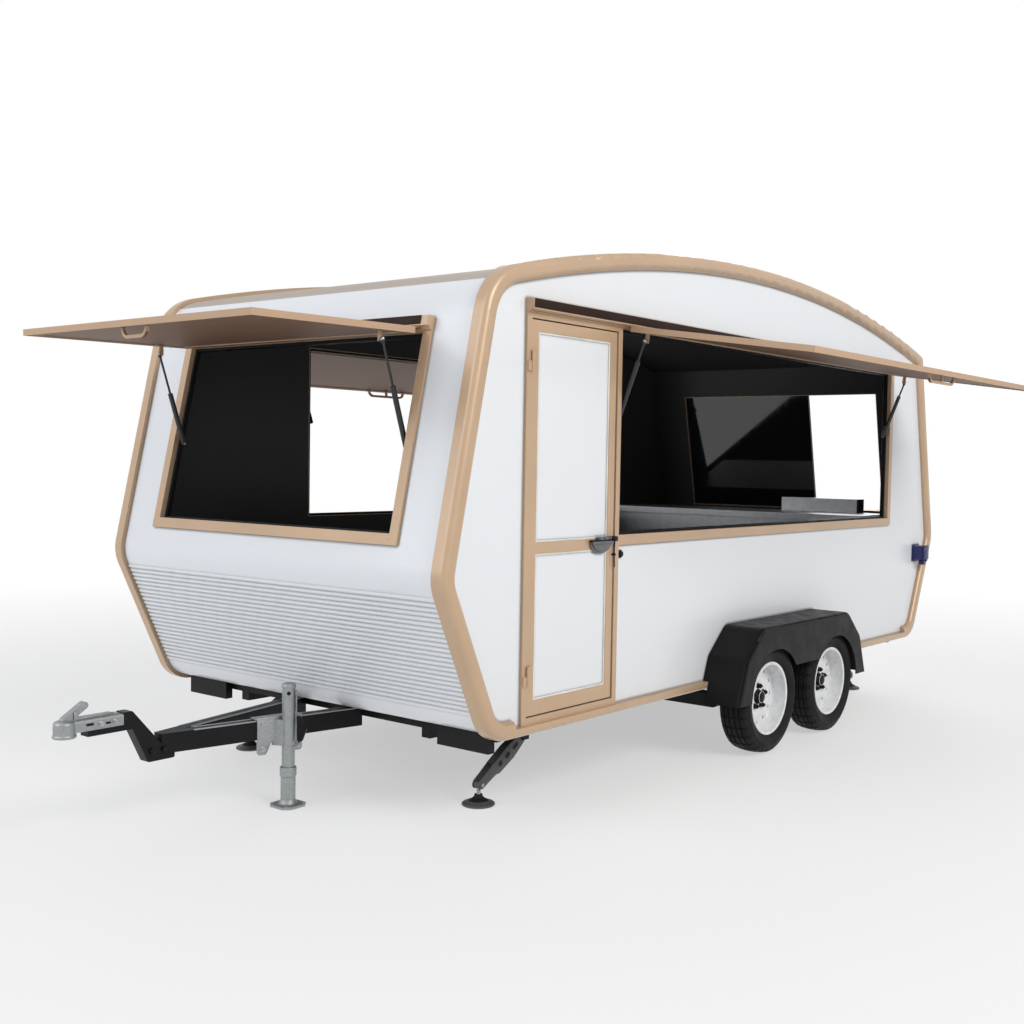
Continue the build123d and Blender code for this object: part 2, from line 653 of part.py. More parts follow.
# Side walls, cut for the hatches and the door
walls = {}
for side_name, side in (("left", 1), ("right", -1)):
    with BuildPart() as side_wall:
        with BuildSketch(side_plane(side * WALL_FACE_Y)):
            add(body_outline(SKIN_OUTSIDE))
            with Locations(((HATCH_REAR + HATCH_FRONT) / 2, (HATCH_SILL + HATCH_HEAD) / 2)):
                Rectangle(2 * (HATCH_HALF + LINER), HATCH_HEIGHT + 2 * LINER, mode=Mode.SUBTRACT)
            if side_name == "left":
                with Locations(((DOOR_REAR + DOOR_FRONT) / 2, (DOOR_SILL + DOOR_HEAD) / 2)):
                    Rectangle(DOOR_FRONT - DOOR_REAR, DOOR_HEAD - DOOR_SILL, mode=Mode.SUBTRACT)
        extrude(amount=side * WALL_THICKNESS)
    walls[side_name] = side_wall

# Rear window: a frame like the front one, with two stacked sliding panes that leave one side open
with BuildPart() as rear_frame:
    window_middle = -HINGE_ABOVE_HEAD - WINDOW_HEIGHT / 2
    with BuildSketch(face_plane(rear_wall, -HINGE_OUT)):
        with Locations((0, window_middle)):
            Rectangle(2 * (WINDOW_HALF_WIDTH + FRAME_FACE), WINDOW_HEIGHT + 2 * FRAME_FACE)
            Rectangle(2 * WINDOW_HALF_WIDTH, WINDOW_HEIGHT, mode=Mode.SUBTRACT)
    extrude(amount=FRAME_PROUD)
    with BuildSketch(face_plane(rear_wall, -HINGE_OUT)):
        with Locations((0, window_middle)):
            Rectangle(2 * (WINDOW_HALF_WIDTH + LINER), WINDOW_HEIGHT + 2 * LINER)
            Rectangle(2 * WINDOW_HALF_WIDTH, WINDOW_HEIGHT, mode=Mode.SUBTRACT)
    extrude(amount=-WALL_THICKNESS)
with BuildPart() as rear_panes:
    for pane_out in PANE_OUTS:
        low = (-WINDOW_HALF_WIDTH, pane_out, window_middle - WINDOW_HEIGHT / 2)
        high = (PANE_EDGE, pane_out + PANE_THICKNESS, window_middle + WINDOW_HEIGHT / 2)
        block(rear_wall, low, high)

# Door: jambs and hinge knuckles join the left frame, the leaf is a frame with two panels
hinge_x = BODY_MID_X + DOOR_FRONT
with BuildPart() as left_frame:
    add(frames["left"].part)
    with BuildSketch(side_plane(WALL_FACE_Y + FRAME_PROUD)):
        jamb_top = HATCH_HEAD + HINGE_ABOVE_HEAD
        jamb_low = DOOR_SILL - DOOR_JAMB
        jamb_front = DOOR_FRONT + DOOR_JAMB
        with Locations(((HATCH_FRONT + jamb_front) / 2, (jamb_low + jamb_top) / 2)):
            Rectangle(jamb_front - HATCH_FRONT, jamb_top - jamb_low)
        with Locations(((DOOR_REAR + DOOR_FRONT) / 2, (DOOR_SILL + DOOR_HEAD) / 2)):
            Rectangle(DOOR_FRONT - DOOR_REAR, DOOR_HEAD - DOOR_SILL, mode=Mode.SUBTRACT)
    extrude(amount=FRAME_PROUD)
    for height in DOOR_HINGES:
        with BuildSketch(Plane.XY.offset(height - KNUCKLE_HEIGHT)):
            with Locations((hinge_x, DOOR_AXIS_Y)):
                Circle(KNUCKLE_RADIUS)
            with Locations((hinge_x + HINGE_LEAF / 2, (WALL_FACE_Y + FRAME_PROUD + DOOR_AXIS_Y) / 2)):
                Rectangle(HINGE_LEAF, DOOR_AXIS_Y - WALL_FACE_Y - FRAME_PROUD)
        extrude(amount=KNUCKLE_HEIGHT)
        with BuildSketch(Plane.XY.offset(height)):
            with Locations((hinge_x, DOOR_AXIS_Y)):
                Circle(HINGE_PIN_RADIUS)
        extrude(amount=KNUCKLE_HEIGHT)
frames["left"] = left_frame

leaf_rear = DOOR_REAR + DOOR_GAP
leaf_front = DOOR_FRONT - DOOR_GAP
leaf_low = DOOR_SILL + DOOR_GAP
leaf_high = DOOR_HEAD - DOOR_GAP
# Columns: lowest and highest z of the two infill panels
DOOR_INFILLS = (
    (leaf_low + DOOR_BOTTOM_RAIL, DOOR_MID_RAIL - DOOR_STILE / 2),
    (DOOR_MID_RAIL + DOOR_STILE / 2, leaf_high - DOOR_STILE),
)
infill_middle = (leaf_rear + leaf_front) / 2
infill_width = leaf_front - leaf_rear - 2 * DOOR_STILE
with BuildPart() as door_frame:
    with BuildSketch(side_plane(DOOR_FACE_Y)):
        with Locations((infill_middle, (leaf_low + leaf_high) / 2)):
            Rectangle(leaf_front - leaf_rear, leaf_high - leaf_low)
        for low, high in DOOR_INFILLS:
            with Locations((infill_middle, (low + high) / 2)):
                Rectangle(infill_width, high - low, mode=Mode.SUBTRACT)
    extrude(amount=DOOR_THICKNESS)
    for height in DOOR_HINGES:
        with BuildSketch(Plane.XY.offset(height + KNUCKLE_CLEARANCE)):
            with Locations((hinge_x, DOOR_AXIS_Y)):
                Circle(KNUCKLE_RADIUS)
            with Locations((hinge_x - HINGE_LEAF / 2, (DOOR_FACE_Y + DOOR_AXIS_Y) / 2)):
                Rectangle(HINGE_LEAF, DOOR_AXIS_Y - DOOR_FACE_Y)
            with Locations((hinge_x, DOOR_AXIS_Y)):
                Circle(HINGE_PIN_RADIUS + PIN_CLEARANCE, mode=Mode.SUBTRACT)
        extrude(amount=KNUCKLE_HEIGHT)
with BuildPart() as door_panels:
    with BuildSketch(side_plane(DOOR_FACE_Y - INFILL_SETBACK)):
        for low, high in DOOR_INFILLS:
            with Locations((infill_middle, (low + high) / 2)):
                Rectangle(infill_width, high - low)
    extrude(amount=DOOR_THICKNESS - 2 * INFILL_SETBACK)
with BuildPart() as door_lock:
    with BuildSketch(side_plane(DOOR_FACE_Y)):
        with Locations((leaf_rear + LOCK_LENGTH / 2, DOOR_MID_RAIL)):
            RectangleRounded(LOCK_LENGTH, LOCK_HEIGHT, LOCK_HEIGHT / 3)
    extrude(amount=-LOCK_PLATE)
    with BuildSketch(side_plane(DOOR_FACE_Y + LOCK_PLATE)):
        with Locations((leaf_rear + LOCK_HEIGHT / 2, DOOR_MID_RAIL)):
            Circle(LOCK_HEIGHT / 3)
    extrude(amount=-LOCK_STANDOFF)
    with BuildSketch(side_plane(DOOR_FACE_Y + LOCK_PLATE + LOCK_STANDOFF)):
        with Locations((leaf_rear + LOCK_LENGTH / 2, DOOR_MID_RAIL)):
            SlotOverall(LOCK_LENGTH, LOCK_HEIGHT * 2 / 3)
    extrude(amount=-LOCK_PLATE)

# Wheels: tyre and pressed disc turned about the axle line, the hub bored for the stub
AXLE_MID_X = BODY_MID_X - AXLE_MID_BACK
# Columns: name, axle position from the middle of the axle pair, side
WHEELS = (
    ("front_left", AXLE_HALF_SPREAD, 1),
    ("front_right", AXLE_HALF_SPREAD, -1),
    ("rear_left", -AXLE_HALF_SPREAD, 1),
    ("rear_right", -AXLE_HALF_SPREAD, -1),
)
BEAD_TOP = RIM_RADIUS + RIM_FLANGE
tyres, discs = {}, {}
for name, spread, side in WHEELS:
    centre = (AXLE_MID_X + spread, side * TYRE_Y, TYRE_RADIUS)
    section = Plane(origin=centre, x_dir=(1, 0, 0), z_dir=(0, 0, side))
    spin = Axis(centre, (0, 1, 0))
    half = TYRE_WIDTH / 2
    bead = half - TYRE_BULGE
    seat = RIM_RADIUS + RIM_SEAT
    shoulder = half - TYRE_SHOULDER
    flange_face = bead + RIM_SEAT
    with BuildPart() as tyre:
        with BuildSketch(section):
            with BuildLine():
                Polyline((BEAD_TOP, -bead), (seat, -bead), (seat, bead), (BEAD_TOP, bead))
                ThreePointArc((BEAD_TOP, bead), (SIDEWALL_RADIUS, half), (SHOULDER_RADIUS, shoulder))
                ThreePointArc((SHOULDER_RADIUS, shoulder), (TYRE_RADIUS, 0), (SHOULDER_RADIUS, -shoulder))
                ThreePointArc((SHOULDER_RADIUS, -shoulder), (SIDEWALL_RADIUS, -half), (BEAD_TOP, -bead))
            make_face()
        revolve(axis=spin)
    with BuildPart() as disc:
        with BuildSketch(section):
            with Locations((RIM_RADIUS - RIM_WALL / 2, 0)):
                Rectangle(RIM_WALL, 2 * flange_face)
            for flange in (-flange_face - RIM_WALL / 2, flange_face + RIM_WALL / 2):
                with Locations((RIM_RADIUS - RIM_WALL + RIM_FLANGE / 2, flange)):
                    Rectangle(RIM_FLANGE, RIM_WALL)
            with BuildLine():
                Polyline(
                    (RIM_RADIUS - RIM_WALL, DISC_INSET),
                    (DISH_RADIUS, DISC_INSET + DISC_RISE),
                    (HUB_RADIUS, DISC_INSET + DISC_RISE),
                    (HUB_RADIUS, DISC_INSET),
                    (DISH_RADIUS, DISC_INSET),
                    (RIM_RADIUS - RIM_WALL, DISC_INSET - DISC_RISE),
                    close=True,
                )
            make_face()
            with Locations((HUB_RADIUS / 2, (DISC_INSET + DISC_RISE - HUB_DEPTH) / 2)):
                Rectangle(HUB_RADIUS, DISC_INSET + DISC_RISE + HUB_DEPTH)
            with Locations((CAP_RADIUS / 2, DISC_INSET + DISC_RISE + CAP_RISE / 2)):
                Rectangle(CAP_RADIUS, CAP_RISE)
            with Locations(((STUB_RADIUS + STUB_CLEARANCE) / 2, -HUB_DEPTH)):
                Rectangle(STUB_RADIUS + STUB_CLEARANCE, 2 * STUB_ENTRY, mode=Mode.SUBTRACT)
        revolve(axis=spin)
        with BuildSketch(Plane(origin=centre, x_dir=(1, 0, 0), z_dir=(0, 1, 0))):
            with PolarLocations(WHEEL_WINDOW_RING, WHEEL_WINDOWS):
                Circle(WHEEL_WINDOW)
        extrude(amount=half, both=True, mode=Mode.SUBTRACT)
    tyres[name] = tyre
    discs[name] = disc

# Axles: a square tube across the chassis, with a trailing arm and a stub at each end
cross_low = FLOOR_UNDERSIDE - CROSS_DEPTH
rail_low = cross_low - RAIL_DEPTH
tube_z = rail_low - AXLE_TUBE / 2
axles = {}
for name, spread in (("front", AXLE_HALF_SPREAD), ("rear", -AXLE_HALF_SPREAD)):
    stub_x = AXLE_MID_X + spread
    with BuildPart() as axle:
        with Locations((stub_x + ARM_LENGTH, 0, tube_z)):
            Box(AXLE_TUBE, 2 * ARM_Y, AXLE_TUBE)
        for side in (-1, 1):
            with BuildSketch(upright_plane(side * ARM_Y)):
                arm_middle = (stub_x + ARM_LENGTH / 2, (TYRE_RADIUS + tube_z) / 2)
                SlotCenterPoint(arm_middle, (stub_x, TYRE_RADIUS), ARM_WIDTH)
            extrude(amount=-side * ARM_THICKNESS)
            with BuildSketch(upright_plane(side * (ARM_Y + ARM_THICKNESS))):
                with Locations((stub_x, TYRE_RADIUS)):
                    Circle(STUB_RADIUS)
            extrude(amount=-side * (TYRE_Y - HUB_DEPTH + STUB_ENTRY - STUB_END_GAP - ARM_Y - ARM_THICKNESS))
    axles[name] = axle

# Chassis: cross members under the floor, two rails under those, and the front corner plates
CROSS_MEMBERS = (
    CROSS_WIDTH / 2 - CHASSIS_END,
    -STEADY_PIVOT_HALF,
    -CHASSIS_END / 2,
    0,
    CHASSIS_END / 2,
    STEADY_PIVOT_HALF,
    CHASSIS_END - CROSS_WIDTH / 2,
)
chassis_front = BODY_MID_X + CHASSIS_END
with BuildPart() as chassis_rails:
    with Locations((BODY_MID_X, RAIL_Y, rail_low + RAIL_DEPTH / 2), (BODY_MID_X, -RAIL_Y, rail_low + RAIL_DEPTH / 2)):
        Box(2 * CHASSIS_END, RAIL_WIDTH, RAIL_DEPTH)
with BuildPart() as cross_members:
    with Locations(*((BODY_MID_X + place, 0, cross_low + CROSS_DEPTH / 2) for place in CROSS_MEMBERS)):
        Box(CROSS_WIDTH, 2 * CROSS_HALF, CROSS_DEPTH)
with BuildPart() as corner_plates:
    plate_near, plate_far = CORNER_PLATE_Y
    plate_top = FLOOR_UNDERSIDE - CORNER_PLATE_GAP
    for side in (-1, 1):
        plate_middle_y = side * (plate_near + plate_far) / 2
        with Locations((chassis_front + CORNER_PLATE / 2, plate_middle_y, (CORNER_PLATE_LOW + plate_top) / 2)):
            Box(CORNER_PLATE, plate_far - plate_near, plate_top - CORNER_PLATE_LOW)

# Brackets under the cross members: a pair of cheeks and a pin for each corner steady
STEADY_X = tuple(BODY_MID_X + end * STEADY_PIVOT_HALF for end in (1, -1))
cheek_low = STEADY_PIVOT_Z - CHEEK_BELOW_PIVOT
with BuildPart() as steady_brackets:
    for pivot_x in STEADY_X:
        for side in (-1, 1):
            for cheek in (-1, 1):
                cheek_y = side * STEADY_Y + cheek * ((STEADY_WIDTH + CHEEK) / 2 + CHEEK_GAP)
                with Locations((pivot_x, cheek_y, (cheek_low + cross_low) / 2)):
                    Box(CROSS_WIDTH, CHEEK, cross_low - cheek_low)
            with BuildSketch(upright_plane(side * STEADY_Y)):
                with Locations((pivot_x, STEADY_PIVOT_Z)):
                    Circle(STEADY_PIN)
            extrude(amount=STEADY_WIDTH / 2 + CHEEK_GAP, both=True)

# Corner steadies: an arm on its pin, a screw and a round pad at the far end
steadies = {}
for end_name, end, pivot_x in (("front", 1, STEADY_X[0]), ("rear", -1, STEADY_X[1])):
    for side_name, side in (("left", 1), ("right", -1)):
        foot_x = pivot_x + end * STEADY_REACH
        with BuildPart() as steady:
            with BuildSketch(upright_plane(side * STEADY_Y)):
                arm_middle = ((pivot_x + foot_x) / 2, (STEADY_PIVOT_Z + STEADY_END_Z) / 2)
                SlotCenterPoint(arm_middle, (pivot_x, STEADY_PIVOT_Z), STEADY_DEPTH)
            extrude(amount=STEADY_WIDTH / 2, both=True)
            with BuildSketch(upright_plane(side * STEADY_Y)):
                hollow_end = (pivot_x + end * STEADY_DEPTH, STEADY_PIVOT_Z - STEADY_HOLLOW_DROP)
                SlotCenterPoint(arm_middle, hollow_end, STEADY_HOLLOW)
            extrude(amount=STEADY_WIDTH, both=True, mode=Mode.SUBTRACT)
            with BuildSketch(upright_plane(side * STEADY_Y)):
                with Locations((pivot_x, STEADY_PIVOT_Z)):
                    Circle(STEADY_PIN + PIN_CLEARANCE)
            extrude(amount=STEADY_WIDTH, both=True, mode=Mode.SUBTRACT)
            with BuildSketch(Plane.XY.offset(STEADY_LIFT)):
                with Locations((foot_x, side * STEADY_Y)):
                    Circle(PAD_RADIUS)
            extrude(amount=PAD_THICKNESS, taper=PAD_TAPER)
            with BuildSketch(Plane.XY.offset(STEADY_LIFT + PAD_THICKNESS)):
                with Locations((foot_x, side * STEADY_Y)):
                    Circle(SCREW_RADIUS)
            extrude(amount=STEADY_END_Z - STEADY_LIFT - PAD_THICKNESS)
        steadies[f"{end_name}_{side_name}"] = steady

# Drawbar: two rails from the front cross member to the nose, and the neck that rises to the coupling
NOSE_X = OVERALL_LENGTH / 2
apex_x = NOSE_X - APEX_BACK
head_rear = NOSE_X - HEAD_LENGTH
head_low = HEAD_TOP - HEAD_DEPTH
tongue_low = head_low - NECK_TONGUE
tongue_front = NOSE_X - NECK_TONGUE_END
rail_spread = (apex_x - chassis_front) * RAIL_SLOPE
with BuildPart() as drawbar:
    with BuildSketch(Plane.XY.offset(DRAWBAR_LOW)):
        for side in (-1, 1):
            with BuildLine():
                Polyline(
                    (chassis_front, side * (rail_spread - RAIL_WIDTH / 2)),
                    (chassis_front, side * (rail_spread + RAIL_WIDTH / 2)),
                    (apex_x, side * RAIL_WIDTH / 2),
                    (apex_x, 0),
                    (apex_x - RAIL_WIDTH / 2 / RAIL_SLOPE, 0),
                    close=True,
                )
            make_face()
    extrude(amount=DRAWBAR_DEPTH)
    with BuildSketch(upright_plane(0)):
        with BuildLine():
            FilletPolyline(
                (apex_x - NECK_FOOT, DRAWBAR_LOW - NECK_DROP),
                (apex_x + NECK_TOE, DRAWBAR_LOW - NECK_DROP),
                (head_rear - NECK_SHOULDER, tongue_low),
                (head_rear, tongue_low),
                (head_rear, HEAD_TOP),
                (head_rear - NECK_SHOULDER, HEAD_TOP),
                (apex_x, DRAWBAR_LOW + NECK_RISE),
                (apex_x - NECK_FOOT, DRAWBAR_LOW + NECK_RISE),
                radius=NECK_BEND,
                close=True,
            )
        make_face()
        tongue_rear = head_rear - NECK_SHOULDER / 2
        with Locations(((tongue_rear + tongue_front) / 2, tongue_low + NECK_TONGUE / 2)):
            Rectangle(tongue_front - tongue_rear, NECK_TONGUE)
    extrude(amount=RAIL_WIDTH / 2, both=True)

# Coupling head: a tongue on the neck, the ball socket in its nose, and the locking lever raised on top
socket_x = NOSE_X - HEAD_RADIUS
nose_low = HEAD_TOP - NOSE_DEPTH
with BuildPart() as coupling_head:
    with BuildSketch(Plane.XY.offset(head_low)):
        with Locations((socket_x, 0)):
            Circle(HEAD_RADIUS)
        with Locations(((head_rear + socket_x) / 2, 0)):
            Rectangle(socket_x - head_rear, HEAD_WIDTH)
    extrude(amount=HEAD_DEPTH)
    fillet(coupling_head.edges().group_by(Axis.Z)[-1], HEAD_ROUND)
    with BuildSketch(Plane.XY.offset(nose_low)):
        with Locations((socket_x, 0)):
            Circle(HEAD_RADIUS)
    extrude(amount=NOSE_DEPTH - HEAD_DEPTH)
    with BuildSketch(Plane.XY.offset(nose_low)):
        with Locations((socket_x, 0)):
            Circle(SOCKET_BORE)
    extrude(amount=SOCKET_DEPTH, mode=Mode.SUBTRACT)
with BuildPart() as coupling_lever:
    with BuildSketch(upright_plane(0)):
        lever_middle = (socket_x - LEVER_BACK / 2, HEAD_TOP + LEVER_RISE / 2)
        SlotCenterPoint(lever_middle, (socket_x - LEVER_BACK, HEAD_TOP + LEVER_RISE), LEVER_THICKNESS)
        with Locations((socket_x, HEAD_TOP - HEAD_DEPTH / 2)):
            Rectangle(2 * HEAD_LENGTH, HEAD_DEPTH, mode=Mode.SUBTRACT)
    extrude(amount=LEVER_WIDTH / 2, both=True)

# Jack: a tube clamped to the left drawbar rail, and the sleeve with its foot that slides up it
jack_x = NOSE_X - JACK_BACK
jack_rail_y = (apex_x - jack_x) * RAIL_SLOPE + RAIL_WIDTH / 2
jack_y = jack_rail_y + JACK_CLAMP + JACK_TUBE
with BuildPart() as jack_body:
    with BuildSketch(Plane.XY.offset(JACK_LOW)):
        with Locations((jack_x, jack_y)):
            Circle(JACK_TUBE)
    extrude(amount=JACK_TOP - JACK_LOW)
    with BuildSketch(Plane.XY.offset(JACK_TOP - JACK_CAP_HEIGHT)):
        with Locations((jack_x, jack_y)):
            Circle(JACK_CAP)
    extrude(amount=JACK_CAP_HEIGHT)
    with BuildSketch(Plane.XY.offset(DRAWBAR_LOW - JACK_BRACKET_DROP)):
        with BuildLine():
            Polyline(
                (jack_x - JACK_BRACKET, jack_rail_y + JACK_BRACKET * RAIL_SLOPE + RAIL_SEAT),
                (jack_x + JACK_BRACKET, jack_rail_y - JACK_BRACKET * RAIL_SLOPE + RAIL_SEAT),
                (jack_x + JACK_TUBE, jack_y),
                (jack_x - JACK_TUBE, jack_y),
                close=True,
            )
        make_face()
    extrude(amount=DRAWBAR_DEPTH + JACK_BRACKET_DROP)
with BuildPart() as jack_leg:
    with BuildSketch(Plane.XY) as foot:
        with Locations((jack_x, jack_y)):
            Rectangle(JACK_FOOT, JACK_FOOT)
        chamfer(foot.vertices(), JACK_FOOT_CORNER)
        with Locations((jack_x, jack_y)):
            with GridLocations(JACK_HOLE_PITCH, JACK_HOLE_PITCH, 2, 2):
                Circle(JACK_HOLE, mode=Mode.SUBTRACT)
    extrude(amount=JACK_PLATE)
    with BuildSketch(Plane.XY.offset(JACK_PLATE)):
        with Locations((jack_x, jack_y)):
            Circle(JACK_SLEEVE)
            Circle(JACK_TUBE + JACK_CLEARANCE, mode=Mode.SUBTRACT)
    extrude(amount=JACK_SLEEVE_TOP - JACK_PLATE)

# Mudguards: a bent shell over each pair of wheels with a rounded shoulder, its outer skirt cut by two arches
trim_face = TRIM_Y + TRIM_RADIUS + GUARD_GAP
guards = {}
for side_name, side, outer_group in (("left", 1, -1), ("right", -1, 0)):
    guard_plane = Plane(origin=(AXLE_MID_X, side * WALL_FACE_Y, 0), x_dir=(1, 0, 0), z_dir=(0, -1, 0))
    skirt_plane = Plane(origin=(AXLE_MID_X, side * GUARD_Y, 0), x_dir=(1, 0, 0), z_dir=(0, -1, 0))
    reach = GUARD_Y - WALL_FACE_Y
    with BuildPart() as hollow:
        with BuildSketch(guard_plane):
            offset(guard_outline(), amount=-GUARD_SHELL)
            with Locations((0, GUARD_LOW)):
                Rectangle(2 * (GUARD_HALF_FOOT - 2 * GUARD_SHELL), 4 * GUARD_SHELL)
        extrude(amount=-side * (reach - GUARD_SHELL))
    with BuildPart() as guard:
        with BuildSketch(guard_plane):
            add(guard_outline())
        extrude(amount=-side * reach)
        fillet(guard.edges().group_by(Axis.Y)[outer_group].sort_by(Axis.Z)[1:], GUARD_ROUND)
        add(hollow.part, mode=Mode.SUBTRACT)
        with BuildSketch(skirt_plane):
            with Locations((AXLE_HALF_SPREAD, TYRE_RADIUS), (-AXLE_HALF_SPREAD, TYRE_RADIUS)):
                Circle(ARCH_RADIUS)
            with Locations((0, TYRE_RADIUS)):
                Rectangle(2 * AXLE_HALF_SPREAD, 2 * (ARCH_MIDDLE - TYRE_RADIUS))
            with Locations((AXLE_HALF_SPREAD, 0), (-AXLE_HALF_SPREAD, 0)):
                Rectangle(2 * ARCH_RADIUS, 2 * TYRE_RADIUS)
        extrude(amount=side * 2 * GUARD_SHELL, mode=Mode.SUBTRACT)
        with Locations((AXLE_MID_X, side * (WALL_FACE_Y + trim_face) / 2, GUARD_NOTCH / 2)):
            Box(4 * GUARD_HALF_FOOT, trim_face - WALL_FACE_Y, GUARD_NOTCH, mode=Mode.SUBTRACT)
    guards[side_name] = guard

# Power inlet on the left wall, rear lamps under the body and the steel worktop across the rear
with BuildPart() as power_inlet:
    with BuildSketch(side_plane(WALL_FACE_Y)):
        with Locations((INLET_X, INLET_Z)):
            RectangleRounded(INLET_SIZE, INLET_SIZE, INLET_ROUND)
    extrude(amount=-INLET_DEPTH)
with BuildPart() as rear_lamps:
    for side in (-1, 1):
        lamp_z = FLOOR_UNDERSIDE - LAMP_GAP - LAMP_HEIGHT / 2
        with Locations((BODY_MID_X - CHASSIS_END - LAMP_DEPTH / 2, side * LAMP_Y, lamp_z)):
            Box(LAMP_DEPTH, LAMP_WIDTH, LAMP_HEIGHT)
with BuildPart() as worktop:
    counter_rear = BODY_MID_X - FLOOR_SEAM_HALF
    counter_x = counter_rear + WORKTOP_DEPTH / 2
    plate_low = WORKTOP_Z - WORKTOP_PLATE
    panel_height = plate_low - FLOOR_TOP
    panel_z = (FLOOR_TOP + plate_low) / 2
    panel_x = counter_rear + WORKTOP_DEPTH - WORKTOP_NOSE - WORKTOP_PANEL / 2
    end_y = WORKTOP_HALF - WORKTOP_NOSE - WORKTOP_PANEL / 2
    with Locations((counter_x, 0, WORKTOP_Z - WORKTOP_PLATE / 2)):
        Box(WORKTOP_DEPTH, 2 * WORKTOP_HALF, WORKTOP_PLATE)
    with Locations((panel_x, 0, panel_z)):
        Box(WORKTOP_PANEL, 2 * end_y + WORKTOP_PANEL, panel_height)
    with Locations((counter_x - WORKTOP_NOSE / 2, end_y, panel_z), (counter_x - WORKTOP_NOSE / 2, -end_y, panel_z)):
        Box(WORKTOP_DEPTH - WORKTOP_NOSE, WORKTOP_PANEL, panel_height)
    with Locations((counter_rear + UPSTAND / 2, UPSTAND_Y, WORKTOP_Z + UPSTAND_HEIGHT / 2)):
        Box(UPSTAND, UPSTAND_WIDTH, UPSTAND_HEIGHT)

for name, skin in skins.items():
    save(skin, name)
for side_name, trim in trims.items():
    save(trim, f"edge_trim_{side_name}")
for name in HATCHES:
    save(frames[name], f"hatch_frame_{name}")
    save(trays[name], f"hatch_tray_{name}")
    save(hatch_skins[name], f"hatch_skin_{name}")
    save(tubes[name], f"strut_tubes_{name}")
    save(rods[name], f"strut_rods_{name}")
for side_name, side_wall in walls.items():
    save(side_wall, f"wall_{side_name}")
save(rear_frame, "rear_window_frame")
save(rear_panes, "rear_window_panes")
save(door_frame, "door_frame")
save(door_panels, "door_panels")
save(door_lock, "door_lock")
for name, spread, side in WHEELS:
    save(tyres[name], f"tyre_{name}")
    save(discs[name], f"wheel_{name}")
for name, axle in axles.items():
    save(axle, f"axle_{name}")
save(chassis_rails, "chassis_rails")
save(cross_members, "cross_members")
save(corner_plates, "corner_plates")
save(steady_brackets, "steady_brackets")
for name, steady in steadies.items():
    save(steady, f"steady_{name}")
save(drawbar, "drawbar")
save(coupling_head, "coupling_head")
save(coupling_lever, "coupling_lever")
save(jack_body, "jack_body")
save(jack_leg, "jack_leg")
for side_name, guard in guards.items():
    save(guard, f"mudguard_{side_name}")
save(power_inlet, "power_inlet")
save(rear_lamps, "rear_lamps")
save(worktop, "worktop")
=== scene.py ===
"""Dresses a twin-axle food trailer: finishes for the solids, and the fittings and trim that they carry."""
import json
import math
from collections import namedtuple

import bmesh
import bpy
from mathutils import Matrix, Vector


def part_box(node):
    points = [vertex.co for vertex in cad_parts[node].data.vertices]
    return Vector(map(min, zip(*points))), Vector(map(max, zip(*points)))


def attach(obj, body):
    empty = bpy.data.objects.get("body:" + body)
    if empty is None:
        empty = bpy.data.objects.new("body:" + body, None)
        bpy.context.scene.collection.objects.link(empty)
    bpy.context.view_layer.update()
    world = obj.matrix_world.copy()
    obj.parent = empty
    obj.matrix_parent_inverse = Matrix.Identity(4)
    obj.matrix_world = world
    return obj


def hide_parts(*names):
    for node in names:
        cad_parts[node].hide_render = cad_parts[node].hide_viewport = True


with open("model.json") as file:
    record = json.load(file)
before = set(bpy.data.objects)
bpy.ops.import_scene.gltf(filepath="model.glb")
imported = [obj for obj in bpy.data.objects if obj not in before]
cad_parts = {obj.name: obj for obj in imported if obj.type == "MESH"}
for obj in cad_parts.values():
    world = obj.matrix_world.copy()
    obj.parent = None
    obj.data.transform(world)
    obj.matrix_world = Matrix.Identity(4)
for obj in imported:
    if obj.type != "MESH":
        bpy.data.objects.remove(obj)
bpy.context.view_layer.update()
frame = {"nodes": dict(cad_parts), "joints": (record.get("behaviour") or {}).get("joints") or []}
NODES = frame["nodes"]
JOINTS = {joint["name"]: joint for joint in frame["joints"]}
SCENE = bpy.context.scene
FRAME_PIXELS = 1024

# Camera solved from the photograph, in metres, degrees and pixels
CAMERA_PLACE = Vector((5.243, 4.166, 1.460))
CAMERA_YAW = 37.831
CAMERA_PITCH = 2.715
CAMERA_ROLL = 1.050
FOCAL_PIXELS = 1227.8
CENTRE_PIXEL = (559.2, 519.7)
SENSOR_WIDTH = 36.0


def make_camera():
    yaw, pitch, roll = (math.radians(v) for v in (CAMERA_YAW, CAMERA_PITCH, CAMERA_ROLL))
    ahead = Vector((-math.cos(yaw) * math.cos(pitch), -math.sin(yaw) * math.cos(pitch), -math.sin(pitch)))
    level = Vector((-math.sin(yaw), math.cos(yaw), 0))
    right = math.cos(roll) * level + math.sin(roll) * level.cross(ahead)
    up = right.cross(ahead)
    camera = bpy.data.cameras.new("camera")
    camera.sensor_width = SENSOR_WIDTH
    camera.lens = FOCAL_PIXELS / FRAME_PIXELS * SENSOR_WIDTH
    camera.shift_x = (FRAME_PIXELS / 2 - CENTRE_PIXEL[0]) / FRAME_PIXELS
    camera.shift_y = (CENTRE_PIXEL[1] - FRAME_PIXELS / 2) / FRAME_PIXELS
    camera.clip_end = 200
    holder = bpy.data.objects.new("camera", camera)
    turn = Matrix((right, up, -ahead)).transposed().to_4x4()
    holder.matrix_world = Matrix.Translation(CAMERA_PLACE) @ turn
    SCENE.collection.objects.link(holder)
    SCENE.camera = holder


make_camera()


